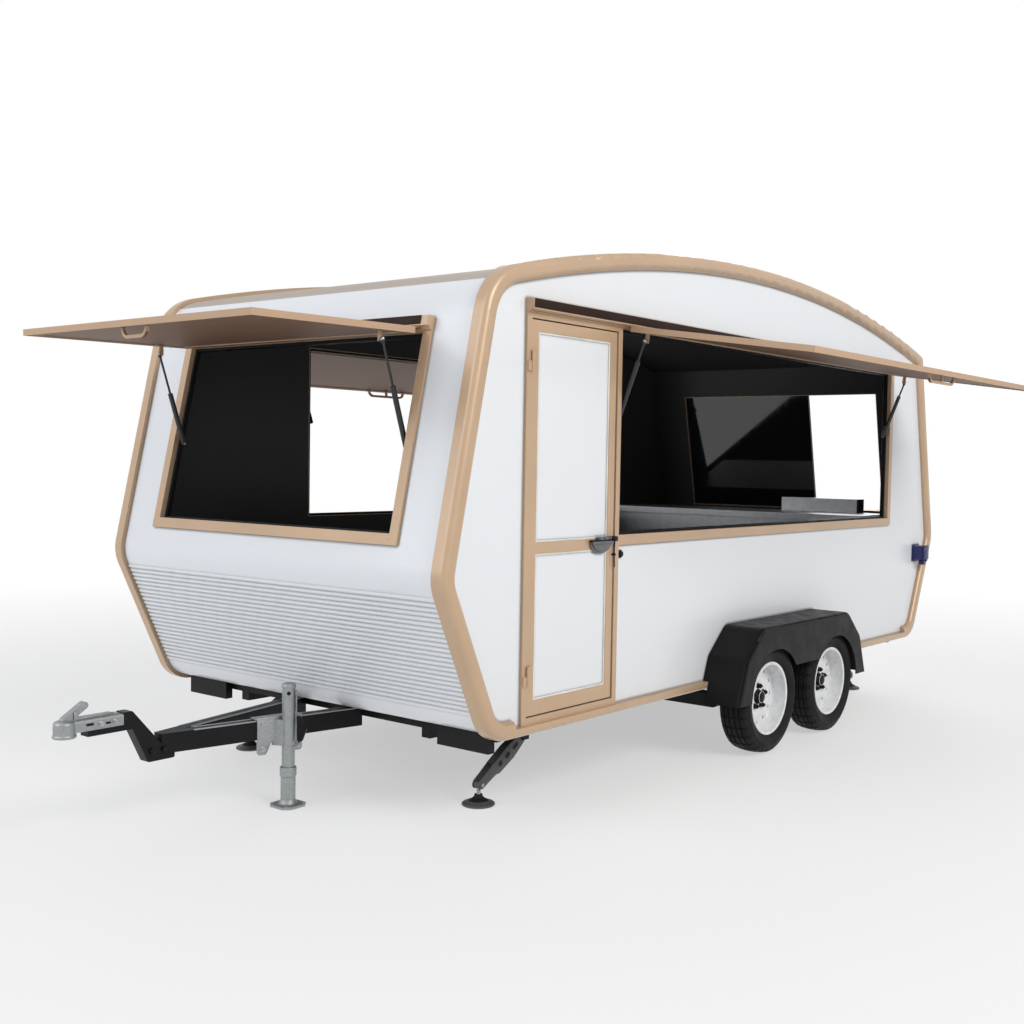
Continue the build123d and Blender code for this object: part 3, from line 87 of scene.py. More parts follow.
# Materials
class Finish:
    """A material under construction: its node tree, the main shader and object coordinates."""

    def __init__(self, name, colour, roughness, metallic=0.0, gloss=0.5):
        self.material = bpy.data.materials.new(name)
        self.material.use_nodes = True
        self.tree = self.material.node_tree
        self.shader = self.tree.nodes["Principled BSDF"]
        self.shader.inputs["Base Color"].default_value = (*colour, 1)
        self.shader.inputs["Roughness"].default_value = roughness
        self.shader.inputs["Metallic"].default_value = metallic
        self.shader.inputs["Specular IOR Level"].default_value = gloss
        self.coordinates = self.add("ShaderNodeTexCoord").outputs["Object"]
        self.colour = colour

    def add(self, kind, **settings):
        node = self.tree.nodes.new(kind)
        for key, value in settings.items():
            setattr(node, key, value)
        return node

    def link(self, source, target):
        self.tree.links.new(source, target)

    def noise(self, scale, detail=4.0):
        node = self.add("ShaderNodeTexNoise")
        node.inputs["Scale"].default_value = scale
        node.inputs["Detail"].default_value = detail
        self.link(self.coordinates, node.inputs["Vector"])
        return node.outputs["Fac"]

    def spread(self, factor, low, high, source_low=0.3, source_high=0.7):
        node = self.add("ShaderNodeMapRange")
        node.inputs["From Min"].default_value = source_low
        node.inputs["From Max"].default_value = source_high
        node.inputs["To Min"].default_value = low
        node.inputs["To Max"].default_value = high
        self.link(factor, node.inputs["Value"])
        return node.outputs["Result"]

    def mix(self, factor, first, second):
        node = self.add("ShaderNodeMix", data_type="RGBA")
        self.link(factor, node.inputs[0])
        for socket, value in ((node.inputs[6], first), (node.inputs[7], second)):
            if isinstance(value, tuple):
                socket.default_value = (*value, 1)
            else:
                self.link(value, socket)
        return node.outputs[2]

    def math(self, operation, first, second):
        node = self.add("ShaderNodeMath", operation=operation)
        for socket, value in zip(node.inputs, (first, second)):
            if isinstance(value, (int, float)):
                socket.default_value = value
            else:
                self.link(value, socket)
        return node.outputs[0]

    def split(self, vector):
        node = self.add("ShaderNodeSeparateXYZ")
        self.link(vector, node.inputs[0])
        return node.outputs

    def paint(self, colour):
        self.link(colour, self.shader.inputs["Base Color"])

    def rough(self, value):
        self.link(value, self.shader.inputs["Roughness"])

    def bump(self, height, strength, distance):
        node = self.add("ShaderNodeBump")
        node.inputs["Strength"].default_value = strength
        node.inputs["Distance"].default_value = distance
        self.link(height, node.inputs["Height"])
        self.link(node.outputs["Normal"], self.shader.inputs["Normal"])

    def clouded(self, scale, amount, darker):
        """Colour that drifts slightly over the surface."""
        self.paint(self.mix(self.spread(self.noise(scale), 0.0, amount), self.colour, darker))


WHITE = (0.80, 0.82, 0.85)
LINING = (0.060, 0.060, 0.060)
LINING_GLOSS = 0.12
# Painted shade in grooves and creases: how far the occlusion looks, how sharply it falls off, and how dark it
# paints the colour
GROOVE_WIDTH = 0.014
GROOVE_SHARPNESS = 4.0
PAINTED_GROOVE_SHADE = 0.35
COAT_ROUGHNESS = 0.12
DUST_SHADE = 0.90
DUST_AMOUNT = 0.5
DUST_TINT = (1.0, 0.985, 0.96)
DUST_HEIGHTS = (0.36, 0.85)
BODY_MIDDLE = (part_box("roof")[0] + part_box("roof")[1]) / 2
CABIN_HEIGHT = 1.4
CABIN_CENTRE = Vector((BODY_MIDDLE.x, 0, CABIN_HEIGHT))


def lined_panel(name, outside, roughness, gloss, coat):
    """Panel that is one colour outside and dark inside, told apart by which way its faces point, with painted
    shade darkening its grooves and creases.
    """
    finish = Finish(name, outside, roughness, gloss=gloss)
    finish.shader.inputs["Coat Roughness"].default_value = COAT_ROUGHNESS
    away = finish.add("ShaderNodeVectorMath", operation="SUBTRACT")
    finish.link(finish.coordinates, away.inputs[0])
    away.inputs[1].default_value = CABIN_CENTRE
    dot = finish.add("ShaderNodeVectorMath", operation="DOT_PRODUCT")
    finish.link(away.outputs[0], dot.inputs[0])
    geometry = finish.add("ShaderNodeNewGeometry")
    finish.link(geometry.outputs["True Normal"], dot.inputs[1])
    facing_out = finish.math("GREATER_THAN", dot.outputs["Value"], 0.0)
    shine = finish.spread(facing_out, LINING_GLOSS, gloss, 0.0, 1.0)
    finish.link(shine, finish.shader.inputs["Specular IOR Level"])
    if coat:
        finish.link(finish.spread(facing_out, 0.0, coat, 0.0, 1.0), finish.shader.inputs["Coat Weight"])
    soiled = tuple(DUST_SHADE * c * tint for c, tint in zip(outside, DUST_TINT))
    height = finish.split(finish.coordinates)["Z"]
    low_down = finish.spread(height, DUST_AMOUNT, 0.0, *DUST_HEIGHTS)
    dust = finish.math("MULTIPLY", low_down, finish.noise(scale=6.0, detail=6.0))
    # Painted shade: ambient occlusion darkens the paint in the rib grooves and creases
    groove_occlusion = finish.add("ShaderNodeAmbientOcclusion", samples=6)
    groove_occlusion.inputs["Distance"].default_value = GROOVE_WIDTH
    open_sky = finish.math("POWER", groove_occlusion.outputs["AO"], GROOVE_SHARPNESS)
    shaded = tuple(PAINTED_GROOVE_SHADE * c for c in outside)
    with_groove_shade = finish.mix(open_sky, shaded, finish.mix(dust, outside, soiled))
    finish.paint(finish.mix(facing_out, LINING, with_groove_shade))
    finish.rough(finish.spread(finish.noise(scale=240.0, detail=2.0), roughness - 0.03, roughness + 0.03))
    finish.bump(finish.noise(scale=320.0, detail=2.0), strength=0.03, distance=0.0008)
    return finish.material


def bronze(name, colour, roughness):
    finish = Finish(name, colour, roughness, metallic=0.15)
    finish.shader.inputs["Coat Weight"].default_value = 0.15
    finish.clouded(3.0, 0.55, tuple(0.84 * c for c in colour))
    finish.bump(finish.noise(scale=420.0, detail=2.0), strength=0.05, distance=0.001)
    return finish.material


def tray_paint(name, edge, underside_shade, roughness):
    """Bronze paint with painted shade: faces that point down take a darker, browner colour for the shade on
    the underside of an open hatch.
    """
    finish = Finish(name, edge, roughness, gloss=0.2)
    normal = finish.coordinates.node.outputs["Normal"]
    # Painted shade: faces that point down take the darker colour
    below = finish.math("LESS_THAN", finish.split(normal)["Z"], -0.5)
    drift = finish.spread(finish.noise(scale=3.0), 0.0, 0.5)
    shaded = finish.mix(drift, underside_shade, tuple(0.84 * c for c in underside_shade))
    finish.paint(finish.mix(below, edge, shaded))
    finish.bump(finish.noise(scale=420.0, detail=2.0), strength=0.05, distance=0.001)
    return finish.material


def plain_plastic(name, colour, roughness, grain=900.0, gloss=0.5):
    finish = Finish(name, colour, roughness, gloss=gloss)
    finish.clouded(7.0, 0.8, tuple(1.5 * c for c in colour))
    finish.bump(finish.noise(scale=grain, detail=3.0), strength=0.12, distance=0.0006)
    finish.rough(finish.spread(finish.noise(scale=14.0), roughness - 0.08, roughness + 0.1))
    return finish.material


def metal(name, colour, roughness, metallic=1.0, spangle=0.0):
    finish = Finish(name, colour, roughness, metallic)
    darker = tuple(0.72 * c for c in colour)
    if spangle:
        cells = finish.add("ShaderNodeTexVoronoi")
        cells.inputs["Scale"].default_value = spangle
        finish.link(finish.coordinates, cells.inputs["Vector"])
        finish.paint(finish.mix(finish.spread(cells.outputs["Color"], 0.0, 0.7, 0.0, 1.0), colour, darker))
    else:
        finish.clouded(30.0, 0.6, darker)
    finish.rough(finish.spread(finish.noise(scale=60.0), roughness - 0.06, roughness + 0.1))
    return finish.material


def glass(name):
    finish = Finish(name, (0.012, 0.013, 0.015), 0.05)
    finish.shader.inputs["Coat Weight"].default_value = 0.6
    finish.rough(finish.spread(finish.noise(scale=25.0), 0.03, 0.09))
    return finish.material


PANEL = lined_panel("white_panel", WHITE, roughness=0.30, gloss=0.5, coat=0.2)
ROOF = lined_panel("roof_sheet", (0.52, 0.455, 0.405), roughness=0.75, gloss=0.15, coat=0.0)
ROOF_STRIP = bronze("roof_strip", (0.50, 0.445, 0.40), roughness=0.42)
BRONZE = bronze("bronze_paint", (0.56, 0.385, 0.245), roughness=0.36)
# Second colour: painted shade on the underside of the open hatches
TRAY = tray_paint("hatch_bronze", (0.53, 0.36, 0.24), (0.20, 0.115, 0.075), roughness=0.55)
BLACK_PLASTIC = plain_plastic("black_plastic", (0.009, 0.009, 0.010), roughness=0.44, gloss=0.11)
BLACK_STEEL = plain_plastic("black_steel", (0.008, 0.008, 0.009), roughness=0.38, grain=500.0, gloss=0.14)
RUBBER = plain_plastic("tyre_rubber", (0.011, 0.011, 0.011), roughness=0.68, grain=600.0, gloss=0.14)
DARK_TRIM = plain_plastic("dark_trim", (0.020, 0.010, 0.007), roughness=0.50, gloss=0.12)
STRUT_BLACK = plain_plastic("strut_black", (0.008, 0.008, 0.009), roughness=0.30)
STEADY_GREY = plain_plastic("steady_grey", (0.050, 0.052, 0.051), roughness=0.46, grain=420.0)
SEAL_GREY = plain_plastic("seal_grey", (0.62, 0.60, 0.55), roughness=0.5)
LINING_FLOOR = plain_plastic("dark_floor", (0.045, 0.045, 0.047), roughness=0.55, grain=300.0)
NAVY = plain_plastic("navy_plastic", (0.008, 0.012, 0.085), roughness=0.35)
RED_LENS = plain_plastic("red_lens", (0.42, 0.012, 0.012), roughness=0.16, grain=200.0)
AMBER_LENS = plain_plastic("amber_lens", (0.55, 0.16, 0.012), roughness=0.16, grain=200.0)
CLEAR_LENS = plain_plastic("clear_lens", (0.46, 0.47, 0.48), roughness=0.14, grain=200.0)
GALVANISED = metal("galvanised_steel", (0.34, 0.36, 0.365), roughness=0.45, metallic=0.75, spangle=140.0)
CHROME = metal("polished_chrome", (0.62, 0.63, 0.65), roughness=0.14)
STEEL = metal("brushed_steel", (0.45, 0.46, 0.48), roughness=0.34, metallic=0.9)
LOCK_GREY = metal("lock_grey", (0.17, 0.175, 0.18), roughness=0.42, metallic=0.7)
WHEEL_WHITE = metal("wheel_white", (0.86, 0.87, 0.88), roughness=0.32, metallic=0.0)
TINTED = glass("tinted_pane")

# Columns: finish, and the names that its solids start with
FINISHES = (
    (PANEL, ("front_", "rear_lower", "rear_upper", "wall_", "hatch_skin", "door_panels")),
    (ROOF, ("roof",)),
    (BRONZE, ("edge_trim", "hatch_frame", "rear_window_frame", "door_frame")),
    (TRAY, ("hatch_tray",)),
    (BLACK_PLASTIC, ("mudguard", "rear_lamps")),
    (BLACK_STEEL, ("axle", "chassis", "cross_members", "corner_plates", "drawbar", "steady")),
    (GALVANISED, ("coupling_", "jack_")),
    (CHROME, ("door_lock",)),
    (STEEL, ("worktop",)),
    (RUBBER, ("tyre",)),
    (WHEEL_WHITE, ("wheel",)),
    (TINTED, ("rear_window_panes",)),
    (NAVY, ("power_inlet",)),
    (LINING_FLOOR, ("floor",)),
    (STRUT_BLACK, ("strut_tubes", "strut_rods")),
)


def finish_solids():
    for material, starts in FINISHES:
        for name, node in NODES.items():
            if name.startswith(starts):
                node.data.materials.clear()
                node.data.materials.append(material)


finish_solids()


# Shaping helpers
SMOOTH_ANGLE = math.radians(35)
ROUND_STEPS = 2
MERGE_DISTANCE = 1e-5
LOOP_LAP = 0.6
UP = Vector((0, 0, 1))


def piece(name, shape, material, body, replaced=()):
    """Close a shape into a named piece that rides on a body and takes its finish from a slot."""
    bmesh.ops.remove_doubles(shape, verts=shape.verts, dist=MERGE_DISTANCE)
    bmesh.ops.recalc_face_normals(shape, faces=shape.faces)
    mesh = bpy.data.meshes.new(name)
    for face in shape.faces:
        face.smooth = True
    shape.to_mesh(mesh)
    shape.free()
    mesh.set_sharp_from_angle(angle=SMOOTH_ANGLE)
    mesh.materials.append(material)
    made = bpy.data.objects.new(name, mesh)
    SCENE.collection.objects.link(made)
    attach(made, body)
    if replaced:
        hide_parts(*replaced)


def round_edges(shape, edges, amount, steps=ROUND_STEPS):
    bmesh.ops.bevel(
        shape, geom=list(edges), offset=amount, affect="EDGES", segments=steps, profile=0.5, material=-1
    )


def edges_of(verts):
    return {edge for vert in verts for edge in vert.link_edges}


def add_block(shape, place, low, high, rounding=0.0, steps=ROUND_STEPS):
    """Block between two corners of a place, with its edges rounded."""
    low, high = Vector(low), Vector(high)
    size = Matrix.Diagonal((*(high - low), 1))
    made = bmesh.ops.create_cube(shape, size=1, matrix=place @ Matrix.Translation((low + high) / 2) @ size)
    if rounding:
        round_edges(shape, edges_of(made["verts"]), rounding, steps)


def add_rod(shape, start, end, radius, end_radius=None, sides=20, rounding=0.0):
    """Round bar between two points, or a cone where its far end has a radius of its own."""
    start, end = Vector(start), Vector(end)
    turn = (end - start).to_track_quat("Z", "Y").to_matrix().to_4x4()
    made = bmesh.ops.create_cone(
        shape, cap_ends=True, segments=sides, depth=(end - start).length,
        radius1=radius, radius2=radius if end_radius is None else end_radius,
        matrix=Matrix.Translation((start + end) / 2) @ turn,
    )
    if rounding:
        faces = {face for vert in made["verts"] for face in vert.link_faces if len(face.verts) > 4}
        round_edges(shape, {edge for face in faces for edge in face.edges}, rounding)


def add_turned(shape, profile, centre, axis, steps=48):
    """Solid turned about an axis from a profile of radius and distance along it.

    It is a ring, unless the profile starts on the axis."""
    centre, axis = Vector(centre), Vector(axis).normalized()
    out = axis.orthogonal().normalized()
    points = list(profile)
    starts_on_axis = points[0][0] == 0
    if starts_on_axis and points[-1][0] > 0:
        points.append((0, points[-1][1]))
    verts = [shape.verts.new(centre + out * radius + axis * along) for radius, along in points]
    pairs = list(zip(verts, verts[1:]))
    if not starts_on_axis:
        pairs.append((verts[-1], verts[0]))
    edges = [shape.edges.new(pair) for pair in pairs]
    bmesh.ops.spin(
        shape, geom=verts + edges, cent=centre, axis=axis, angle=math.tau, steps=steps, use_merge=True
    )


def hexagon(shape, centre, axis, across, height, rounding=0.0008):
    """Six-sided nut or bolt head that stands on a face."""
    centre, axis = Vector(centre), Vector(axis).normalized()
    add_rod(shape, centre, centre + axis * height, across / math.sqrt(3), sides=6, rounding=rounding)


def add_plate(shape, place, outline, depth, rounding=0.0):
    """Flat plate: an outline in the x and z of a place, drawn out along its y."""
    face = shape.faces.new([shape.verts.new(place @ Vector((x, 0, z))) for x, z in outline])
    around = list(face.verts)
    drawn = bmesh.ops.extrude_face_region(shape, geom=[face])["geom"]
    moved = [item for item in drawn if isinstance(item, bmesh.types.BMVert)]
    bmesh.ops.translate(shape, verts=moved, vec=place.to_3x3() @ Vector((0, depth, 0)))
    if rounding:
        round_edges(shape, edges_of(around + moved), rounding)


def half_moon(width, drop, steps=14):
    """Outline with a straight top and a rounded bottom."""
    for index in range(steps + 1):
        turn = math.pi * index / steps
        yield width / 2 * math.cos(turn), -drop * math.sin(turn)


def oval(half_length, half_height, middle, steps=8):
    """Slot outline: two half circles and the straight runs between them."""
    run = half_length - half_height
    for end in (1, -1):
        for index in range(steps + 1):
            turn = math.pi * (index / steps - 0.5)
            yield middle + end * (run + half_height * math.cos(turn)), end * half_height * math.sin(turn)


def add_loop(shape, place, low, high, width, depth, rounding):
    """Four strips round the inside of a rectangle in the x and z of a place."""
    (left, bottom), (right, top) = low, high
    add_block(shape, place, (left, 0, bottom), (left + width, depth, top), rounding)
    add_block(shape, place, (right - width, 0, bottom), (right, depth, top), rounding)
    inner = LOOP_LAP * width
    for low_edge in (bottom, top - width):
        low_corner = (left + inner, 0, low_edge)
        add_block(shape, place, low_corner, (right - inner, depth, low_edge + width), rounding)


def add_screw(shape, place, spot, facing, radius=0.0045, height=0.0018):
    """Low domed screw head on a face of a place."""
    foot = place @ Vector(spot)
    facing = (place.to_3x3() @ Vector(facing)).normalized()
    profile = ((0, height), (radius * 0.55, height * 0.85), (radius, height * 0.25), (radius, -height))
    add_turned(shape, profile, foot, facing, 12)


def spaced(start, end, pitch):
    """Evenly spaced places between two ends, near a wanted pitch."""
    count = max(1, round(abs(end - start) / pitch))
    return [start + (end - start) * index / count for index in range(count + 1)]


def at(x, y, z):
    return Matrix.Translation((x, y, z))


def wall_place(origin, heading, lean, droop=0):
    turn, tip = math.radians(heading), math.radians(lean - droop)
    along = Vector((math.sin(turn), -math.cos(turn), 0))
    up = Vector((-math.cos(turn) * math.sin(tip), -math.sin(turn) * math.sin(tip), math.cos(tip)))
    turned = Matrix((along, up.cross(along), up)).transposed().to_4x4()
    return Matrix.Translation(origin) @ turned


# Tyres with ribbed tread
TYRE_RADIUS = 0.279
TYRE_Y = 1.165
AXLE_MIDDLE = -0.650
AXLE_SPREAD = 0.344
CROWN_DROP = 0.008
CROWN_HALF = 0.0675
GROOVE_DEPTH = 0.008
GROOVE_BEVEL = 0.0012
TYRE_STEPS = 120
SIPE_RADIUS = 0.262
SIPE_AREA = 0.00008
SIPE_SPACING = 4
SIPE_INSET = 0.0035
SIPE_DEPTH = 0.004
# Columns: where each tread rib starts and ends across the tyre
TREAD_RIBS = (
    (-0.0665, -0.0450), (-0.0380, -0.0190), (-0.0120, 0.0120), (0.0190, 0.0380), (0.0450, 0.0665),
)
# Columns: radius and distance across, from the bead out to the shoulder
SIDEWALL = (
    (0.1765, 0.0600), (0.1875, 0.0605), (0.1905, 0.0660), (0.1945, 0.0690), (0.2005, 0.0735),
    (0.2035, 0.0765), (0.2065, 0.0765), (0.2085, 0.0780), (0.2200, 0.0815), (0.2300, 0.0824),
    (0.2320, 0.0838), (0.2345, 0.0836), (0.2360, 0.0818), (0.2480, 0.0785), (0.2590, 0.0735),
    (0.2670, 0.0690),
)
# Columns: name, place along the axle pair, side
WHEELS = (
    ("front_left", AXLE_SPREAD, 1),
    ("front_right", AXLE_SPREAD, -1),
    ("rear_left", -AXLE_SPREAD, 1),
    ("rear_right", -AXLE_SPREAD, -1),
)


def crown(across):
    return TYRE_RADIUS - CROWN_DROP * (across / CROWN_HALF) ** 2


def tyre_profile():
    for radius, across in SIDEWALL:
        yield radius, -across
    for start, end in TREAD_RIBS:
        if start > TREAD_RIBS[0][0]:
            yield crown(start) - GROOVE_DEPTH, start - GROOVE_BEVEL
        yield crown(start) - GROOVE_BEVEL, start
        yield crown(start), start + GROOVE_BEVEL
        yield crown(end), end - GROOVE_BEVEL
        yield crown(end) - GROOVE_BEVEL, end
        if end < TREAD_RIBS[-1][1]:
            yield crown(end) - GROOVE_DEPTH, end + GROOVE_BEVEL
    for radius, across in reversed(SIDEWALL):
        yield radius, across


def wheel_centre(spread, side):
    return Vector((AXLE_MIDDLE + spread, side * TYRE_Y, TYRE_RADIUS))


def make_tyre(name, spread, side):
    shape = bmesh.new()
    centre = wheel_centre(spread, side)
    add_turned(shape, tyre_profile(), centre, (0, 1, 0), TYRE_STEPS)
    shape.normal_update()
    cuts = []
    for face in shape.faces:
        middle = face.calc_center_median() - centre
        turn = math.atan2(middle.z, middle.x) / math.tau * TYRE_STEPS
        on_tread = math.hypot(middle.x, middle.z) > SIPE_RADIUS and face.calc_area() > SIPE_AREA
        if on_tread and int(turn) % SIPE_SPACING == 0:
            cuts.append(face)
    bmesh.ops.recalc_face_normals(shape, faces=shape.faces)
    bmesh.ops.inset_individual(shape, faces=cuts, thickness=SIPE_INSET, depth=-SIPE_DEPTH)
    piece(f"tyre_tread_{name}", shape, RUBBER, f"wheel_{name}", (f"tyre_{name}",))


for wheel_row in WHEELS:
    make_tyre(*wheel_row)


# Wheel fittings: hub cap, nuts, rim lip, a dark brake drum ring that is also painted shade behind the
# windows, and valve
NUT_COUNT = 5
NUT_RING = 0.056
NUT_ACROSS = 0.021
NUT_HEIGHT = 0.017
DISC_FACE = -0.004
NUT_START = 0.25
VALVE_RING = 0.150
VALVE_TURN = 0.4
VALVE_FOOT = -0.008
VALVE_NECK = 0.016
VALVE_TIP = 0.034
# Columns: radius and distance out from the middle of the wheel
CAP_PROFILE = (
    (0.0, 0.0285), (0.014, 0.0280), (0.022, 0.0262), (0.0285, 0.0225), (0.0315, 0.0170),
    (0.0320, 0.0020), (0.0375, -0.0010), (0.0385, -0.0042), (0.0300, -0.0042),
)
LIP_PROFILE = (
    (0.1705, 0.0600), (0.1705, 0.0640), (0.1735, 0.0668), (0.1790, 0.0690), (0.1840, 0.0680),
    (0.1862, 0.0645), (0.1850, 0.0612), (0.1830, 0.0609),
)
DISH_PROFILE = (
    (0.0700, -0.0039), (0.0745, -0.0020), (0.0820, -0.0005), (0.0920, -0.0002), (0.1020, -0.0012),
    (0.1090, -0.0039),
)
DRUM_SHADE_PROFILE = ((0.116, -0.023), (0.156, -0.023), (0.156, -0.026), (0.116, -0.026))


def make_wheel_fittings(name, spread, side):
    body = f"wheel_{name}"
    centre = wheel_centre(spread, side)
    out = Vector((0, side, 0))
    cap = bmesh.new()
    add_turned(cap, CAP_PROFILE, centre, out, 32)
    piece(f"hub_cap_{name}", cap, BLACK_PLASTIC, body)
    nuts = bmesh.new()
    for index in range(NUT_COUNT):
        turn = math.tau * (index + NUT_START) / NUT_COUNT
        foot = centre + NUT_RING * Vector((math.cos(turn), 0, math.sin(turn))) + out * DISC_FACE
        add_rod(nuts, foot, foot + out * 0.004, 0.0155, 0.0125)
        hexagon(nuts, foot + out * 0.003, out, NUT_ACROSS, NUT_HEIGHT)
        add_rod(nuts, foot + out * 0.019, foot + out * 0.027, 0.0068, 0.0055, 12, 0.001)
    piece(f"wheel_nuts_{name}", nuts, BLACK_STEEL, body)
    lip = bmesh.new()
    add_turned(lip, LIP_PROFILE, centre, out, 72)
    add_turned(lip, DISH_PROFILE, centre, out, 72)
    piece(f"rim_lip_{name}", lip, WHEEL_WHITE, body)
    # Brake drum as a thin dark ring behind the disc: partly the real drum, partly painted shade seen through
    # the disc's windows
    ring_shade = bmesh.new()
    add_turned(ring_shade, DRUM_SHADE_PROFILE, centre, out)
    piece(f"brake_drum_shade_{name}", ring_shade, BLACK_STEEL, body)
    valve = bmesh.new()
    foot = centre + VALVE_RING * Vector((math.cos(VALVE_TURN), 0, math.sin(VALVE_TURN))) + out * VALVE_FOOT
    neck = foot + out * VALVE_NECK
    add_rod(valve, foot, neck, 0.006, 0.0045, 14, 0.001)
    add_rod(valve, neck, foot + out * VALVE_TIP, 0.0035, 0.0035, 14, 0.0008)
    piece(f"valve_{name}", valve, BLACK_PLASTIC, body)


for wheel_row in WHEELS:
    make_wheel_fittings(*wheel_row)


# Hatches: places on each wall and on each open hatch, x along the hinge, y out, z up
FRONT_LEAN = math.degrees(math.atan2(0.250, 1.160))
# Heading of the wall, its lean, droop of the open hatch, half width, height, distance out to the strut's eye
Hatch = namedtuple("Hatch", "heading lean droop half height eye")
HATCHES = {
    "left": Hatch(90, 0, 8, 1.469, 0.905, 0.090),
    "right": Hatch(-90, 0, 8, 1.469, 0.905, 0.090),
    "front": Hatch(0, FRONT_LEAN, 13, 0.750, 0.8086, 0.180),
}


FRAME_OUT = -0.017
SCREW_PITCH = 0.24
FRAME_HALF = 0.0225
STRUT_INSET = 0.026
EYE_BELOW = 0.056
TRAY_UNDER = -0.024
OPENING_HEAD = -0.012
SEAL_BACK = -0.064
SEAL_WIDTH = 0.012
SEAL_DEPTH = 0.024
BRACKET_INSET = 0.016
BRACKET_HALF = 0.040
BRACKET_SCREW = 0.030
BALL_RADIUS = 0.0092
RIVET_RADIUS = 0.004
RIVET_HEIGHT = 0.0016


def hatch_wall(name):
    """Place on the wall behind a hatch, at its hinge line."""
    hatch = HATCHES[name]
    return wall_place(JOINTS[f"hatch_{name}_swing"]["pos_m"], hatch.heading, hatch.lean)


def make_frame_screws(name):
    half, wall = HATCHES[name].half, hatch_wall(name)
    shape = bmesh.new()
    head, sill = OPENING_HEAD, OPENING_HEAD - HATCHES[name].height
    for along in spaced(-half, half, SCREW_PITCH):
        add_screw(shape, wall, (along, FRAME_OUT, sill - FRAME_HALF), (0, 1, 0))
    for up in spaced(sill + 0.06, head - 0.06, SCREW_PITCH):
        for side in (-1, 1):
            if name == "left" and side == 1:
                continue
            add_screw(shape, wall, (side * (half + FRAME_HALF), FRAME_OUT, up), (0, 1, 0))
    piece(f"frame_screws_{name}", shape, BRONZE, "root")


def make_frame_seal(name):
    """Black rubber strip round the inside of the frame that the closed hatch presses on."""
    half = HATCHES[name].half
    shape = bmesh.new()
    sill = OPENING_HEAD - HATCHES[name].height
    inside = hatch_wall(name) @ at(0, SEAL_BACK, 0)
    add_loop(shape, inside, (-half, sill), (half, OPENING_HEAD), SEAL_WIDTH, SEAL_DEPTH, 0.003)
    piece(f"frame_seal_{name}", shape, BLACK_PLASTIC, "root")


def make_hatch_fittings(name):
    heading, lean, droop, half, height, eye = HATCHES[name]
    rest = wall_place(JOINTS[f"hatch_{name}_swing"]["pos_m"], heading, lean, droop)
    brackets = bmesh.new()
    for side in (-1, 1):
        along = side * (half - STRUT_INSET - BRACKET_INSET)
        low = (along - 0.014, eye - BRACKET_HALF, TRAY_UNDER + 0.0015)
        high = (along + 0.004, eye + BRACKET_HALF, TRAY_UNDER + 0.0055)
        add_block(brackets, rest, low, high, 0.0012)
        for out in (-BRACKET_SCREW, BRACKET_SCREW):
            spot = (along - 0.005, eye + out, TRAY_UNDER + 0.0015)
            add_screw(brackets, rest, spot, -UP, 0.005, 0.003)
        ball = at(*(rest @ Vector((side * (half - STRUT_INSET), eye, -EYE_BELOW))))
        bmesh.ops.create_uvsphere(brackets, u_segments=16, v_segments=10, radius=BALL_RADIUS, matrix=ball)
    piece(f"strut_brackets_{name}", brackets, STEEL, f"hatch_{name}")
    rivets = bmesh.new()
    outer = height - OPENING_HEAD - 0.006
    spots = []
    for along in spaced(0.06 - half, half - 0.06, 0.3):
        spots += [(along, outer - 0.020), (along, 0.042)]
    for out in spaced(0.12, outer - 0.1, 0.25):
        spots += [(side * (half - STRUT_INSET), out) for side in (-1, 1)]
    for along, out in spots:
        add_screw(rivets, rest, (along, out, TRAY_UNDER), -UP, RIVET_RADIUS, RIVET_HEIGHT)
    piece(f"hatch_rivets_{name}", rivets, TRAY, f"hatch_{name}")


for hatch_name in HATCHES:
    make_frame_screws(hatch_name)
    make_frame_seal(hatch_name)
    make_hatch_fittings(hatch_name)


# Door fittings
DOOR_FACE = 1.051
WALL_FACE = 1.045
LEAF_REAR = 0.843
LEAF_FRONT = 1.430
LEAF_LOW = 0.425
LEAF_HIGH = 2.025
MID_RAIL = 1.107
STILE = 0.045
BOTTOM_RAIL = 0.060
LOCK_X = 0.945
LOCK_Z = 1.112
LOCK_BOLTS = (-0.055, -0.015, 0.020)
LOCK_BOLT_Z = LOCK_Z + 0.019
DOOR_GAP = 0.005
GAP_BACK = 1.012
HINGE_LINE_X = 1.435
HINGE_HEIGHTS = (0.591, 1.859)
HINGE_FACE = 1.064
# Columns: distance of a hinge leaf's screws along from the hinge line, and their heights from its middle
HINGE_LEAVES = ((0.020, (-0.030, -0.012)), (-0.020, (0.012, 0.030)))
# Columns: distance along from the latch, distance above the lock's middle
STRAP_OUTLINE = (
    (-0.004, 0.010), (0.006, 0.010), (0.005, -0.040), (0.0015, -0.110), (-0.0035, -0.112), (-0.001, -0.040),
)
# Columns: radius and distance out from the wall
STOP_PROFILE = (
    (0, 0.014), (0.008, 0.0135), (0.012, 0.0115), (0.0135, 0.008), (0.0145, 0.004), (0.018, 0.003),
    (0.0185, 0.0), (0.0, 0.0),
)
# Columns: lowest and highest z of the two infill panels
INFILLS = ((LEAF_LOW + BOTTOM_RAIL, MID_RAIL - STILE / 2), (MID_RAIL + STILE / 2, LEAF_HIGH - STILE))


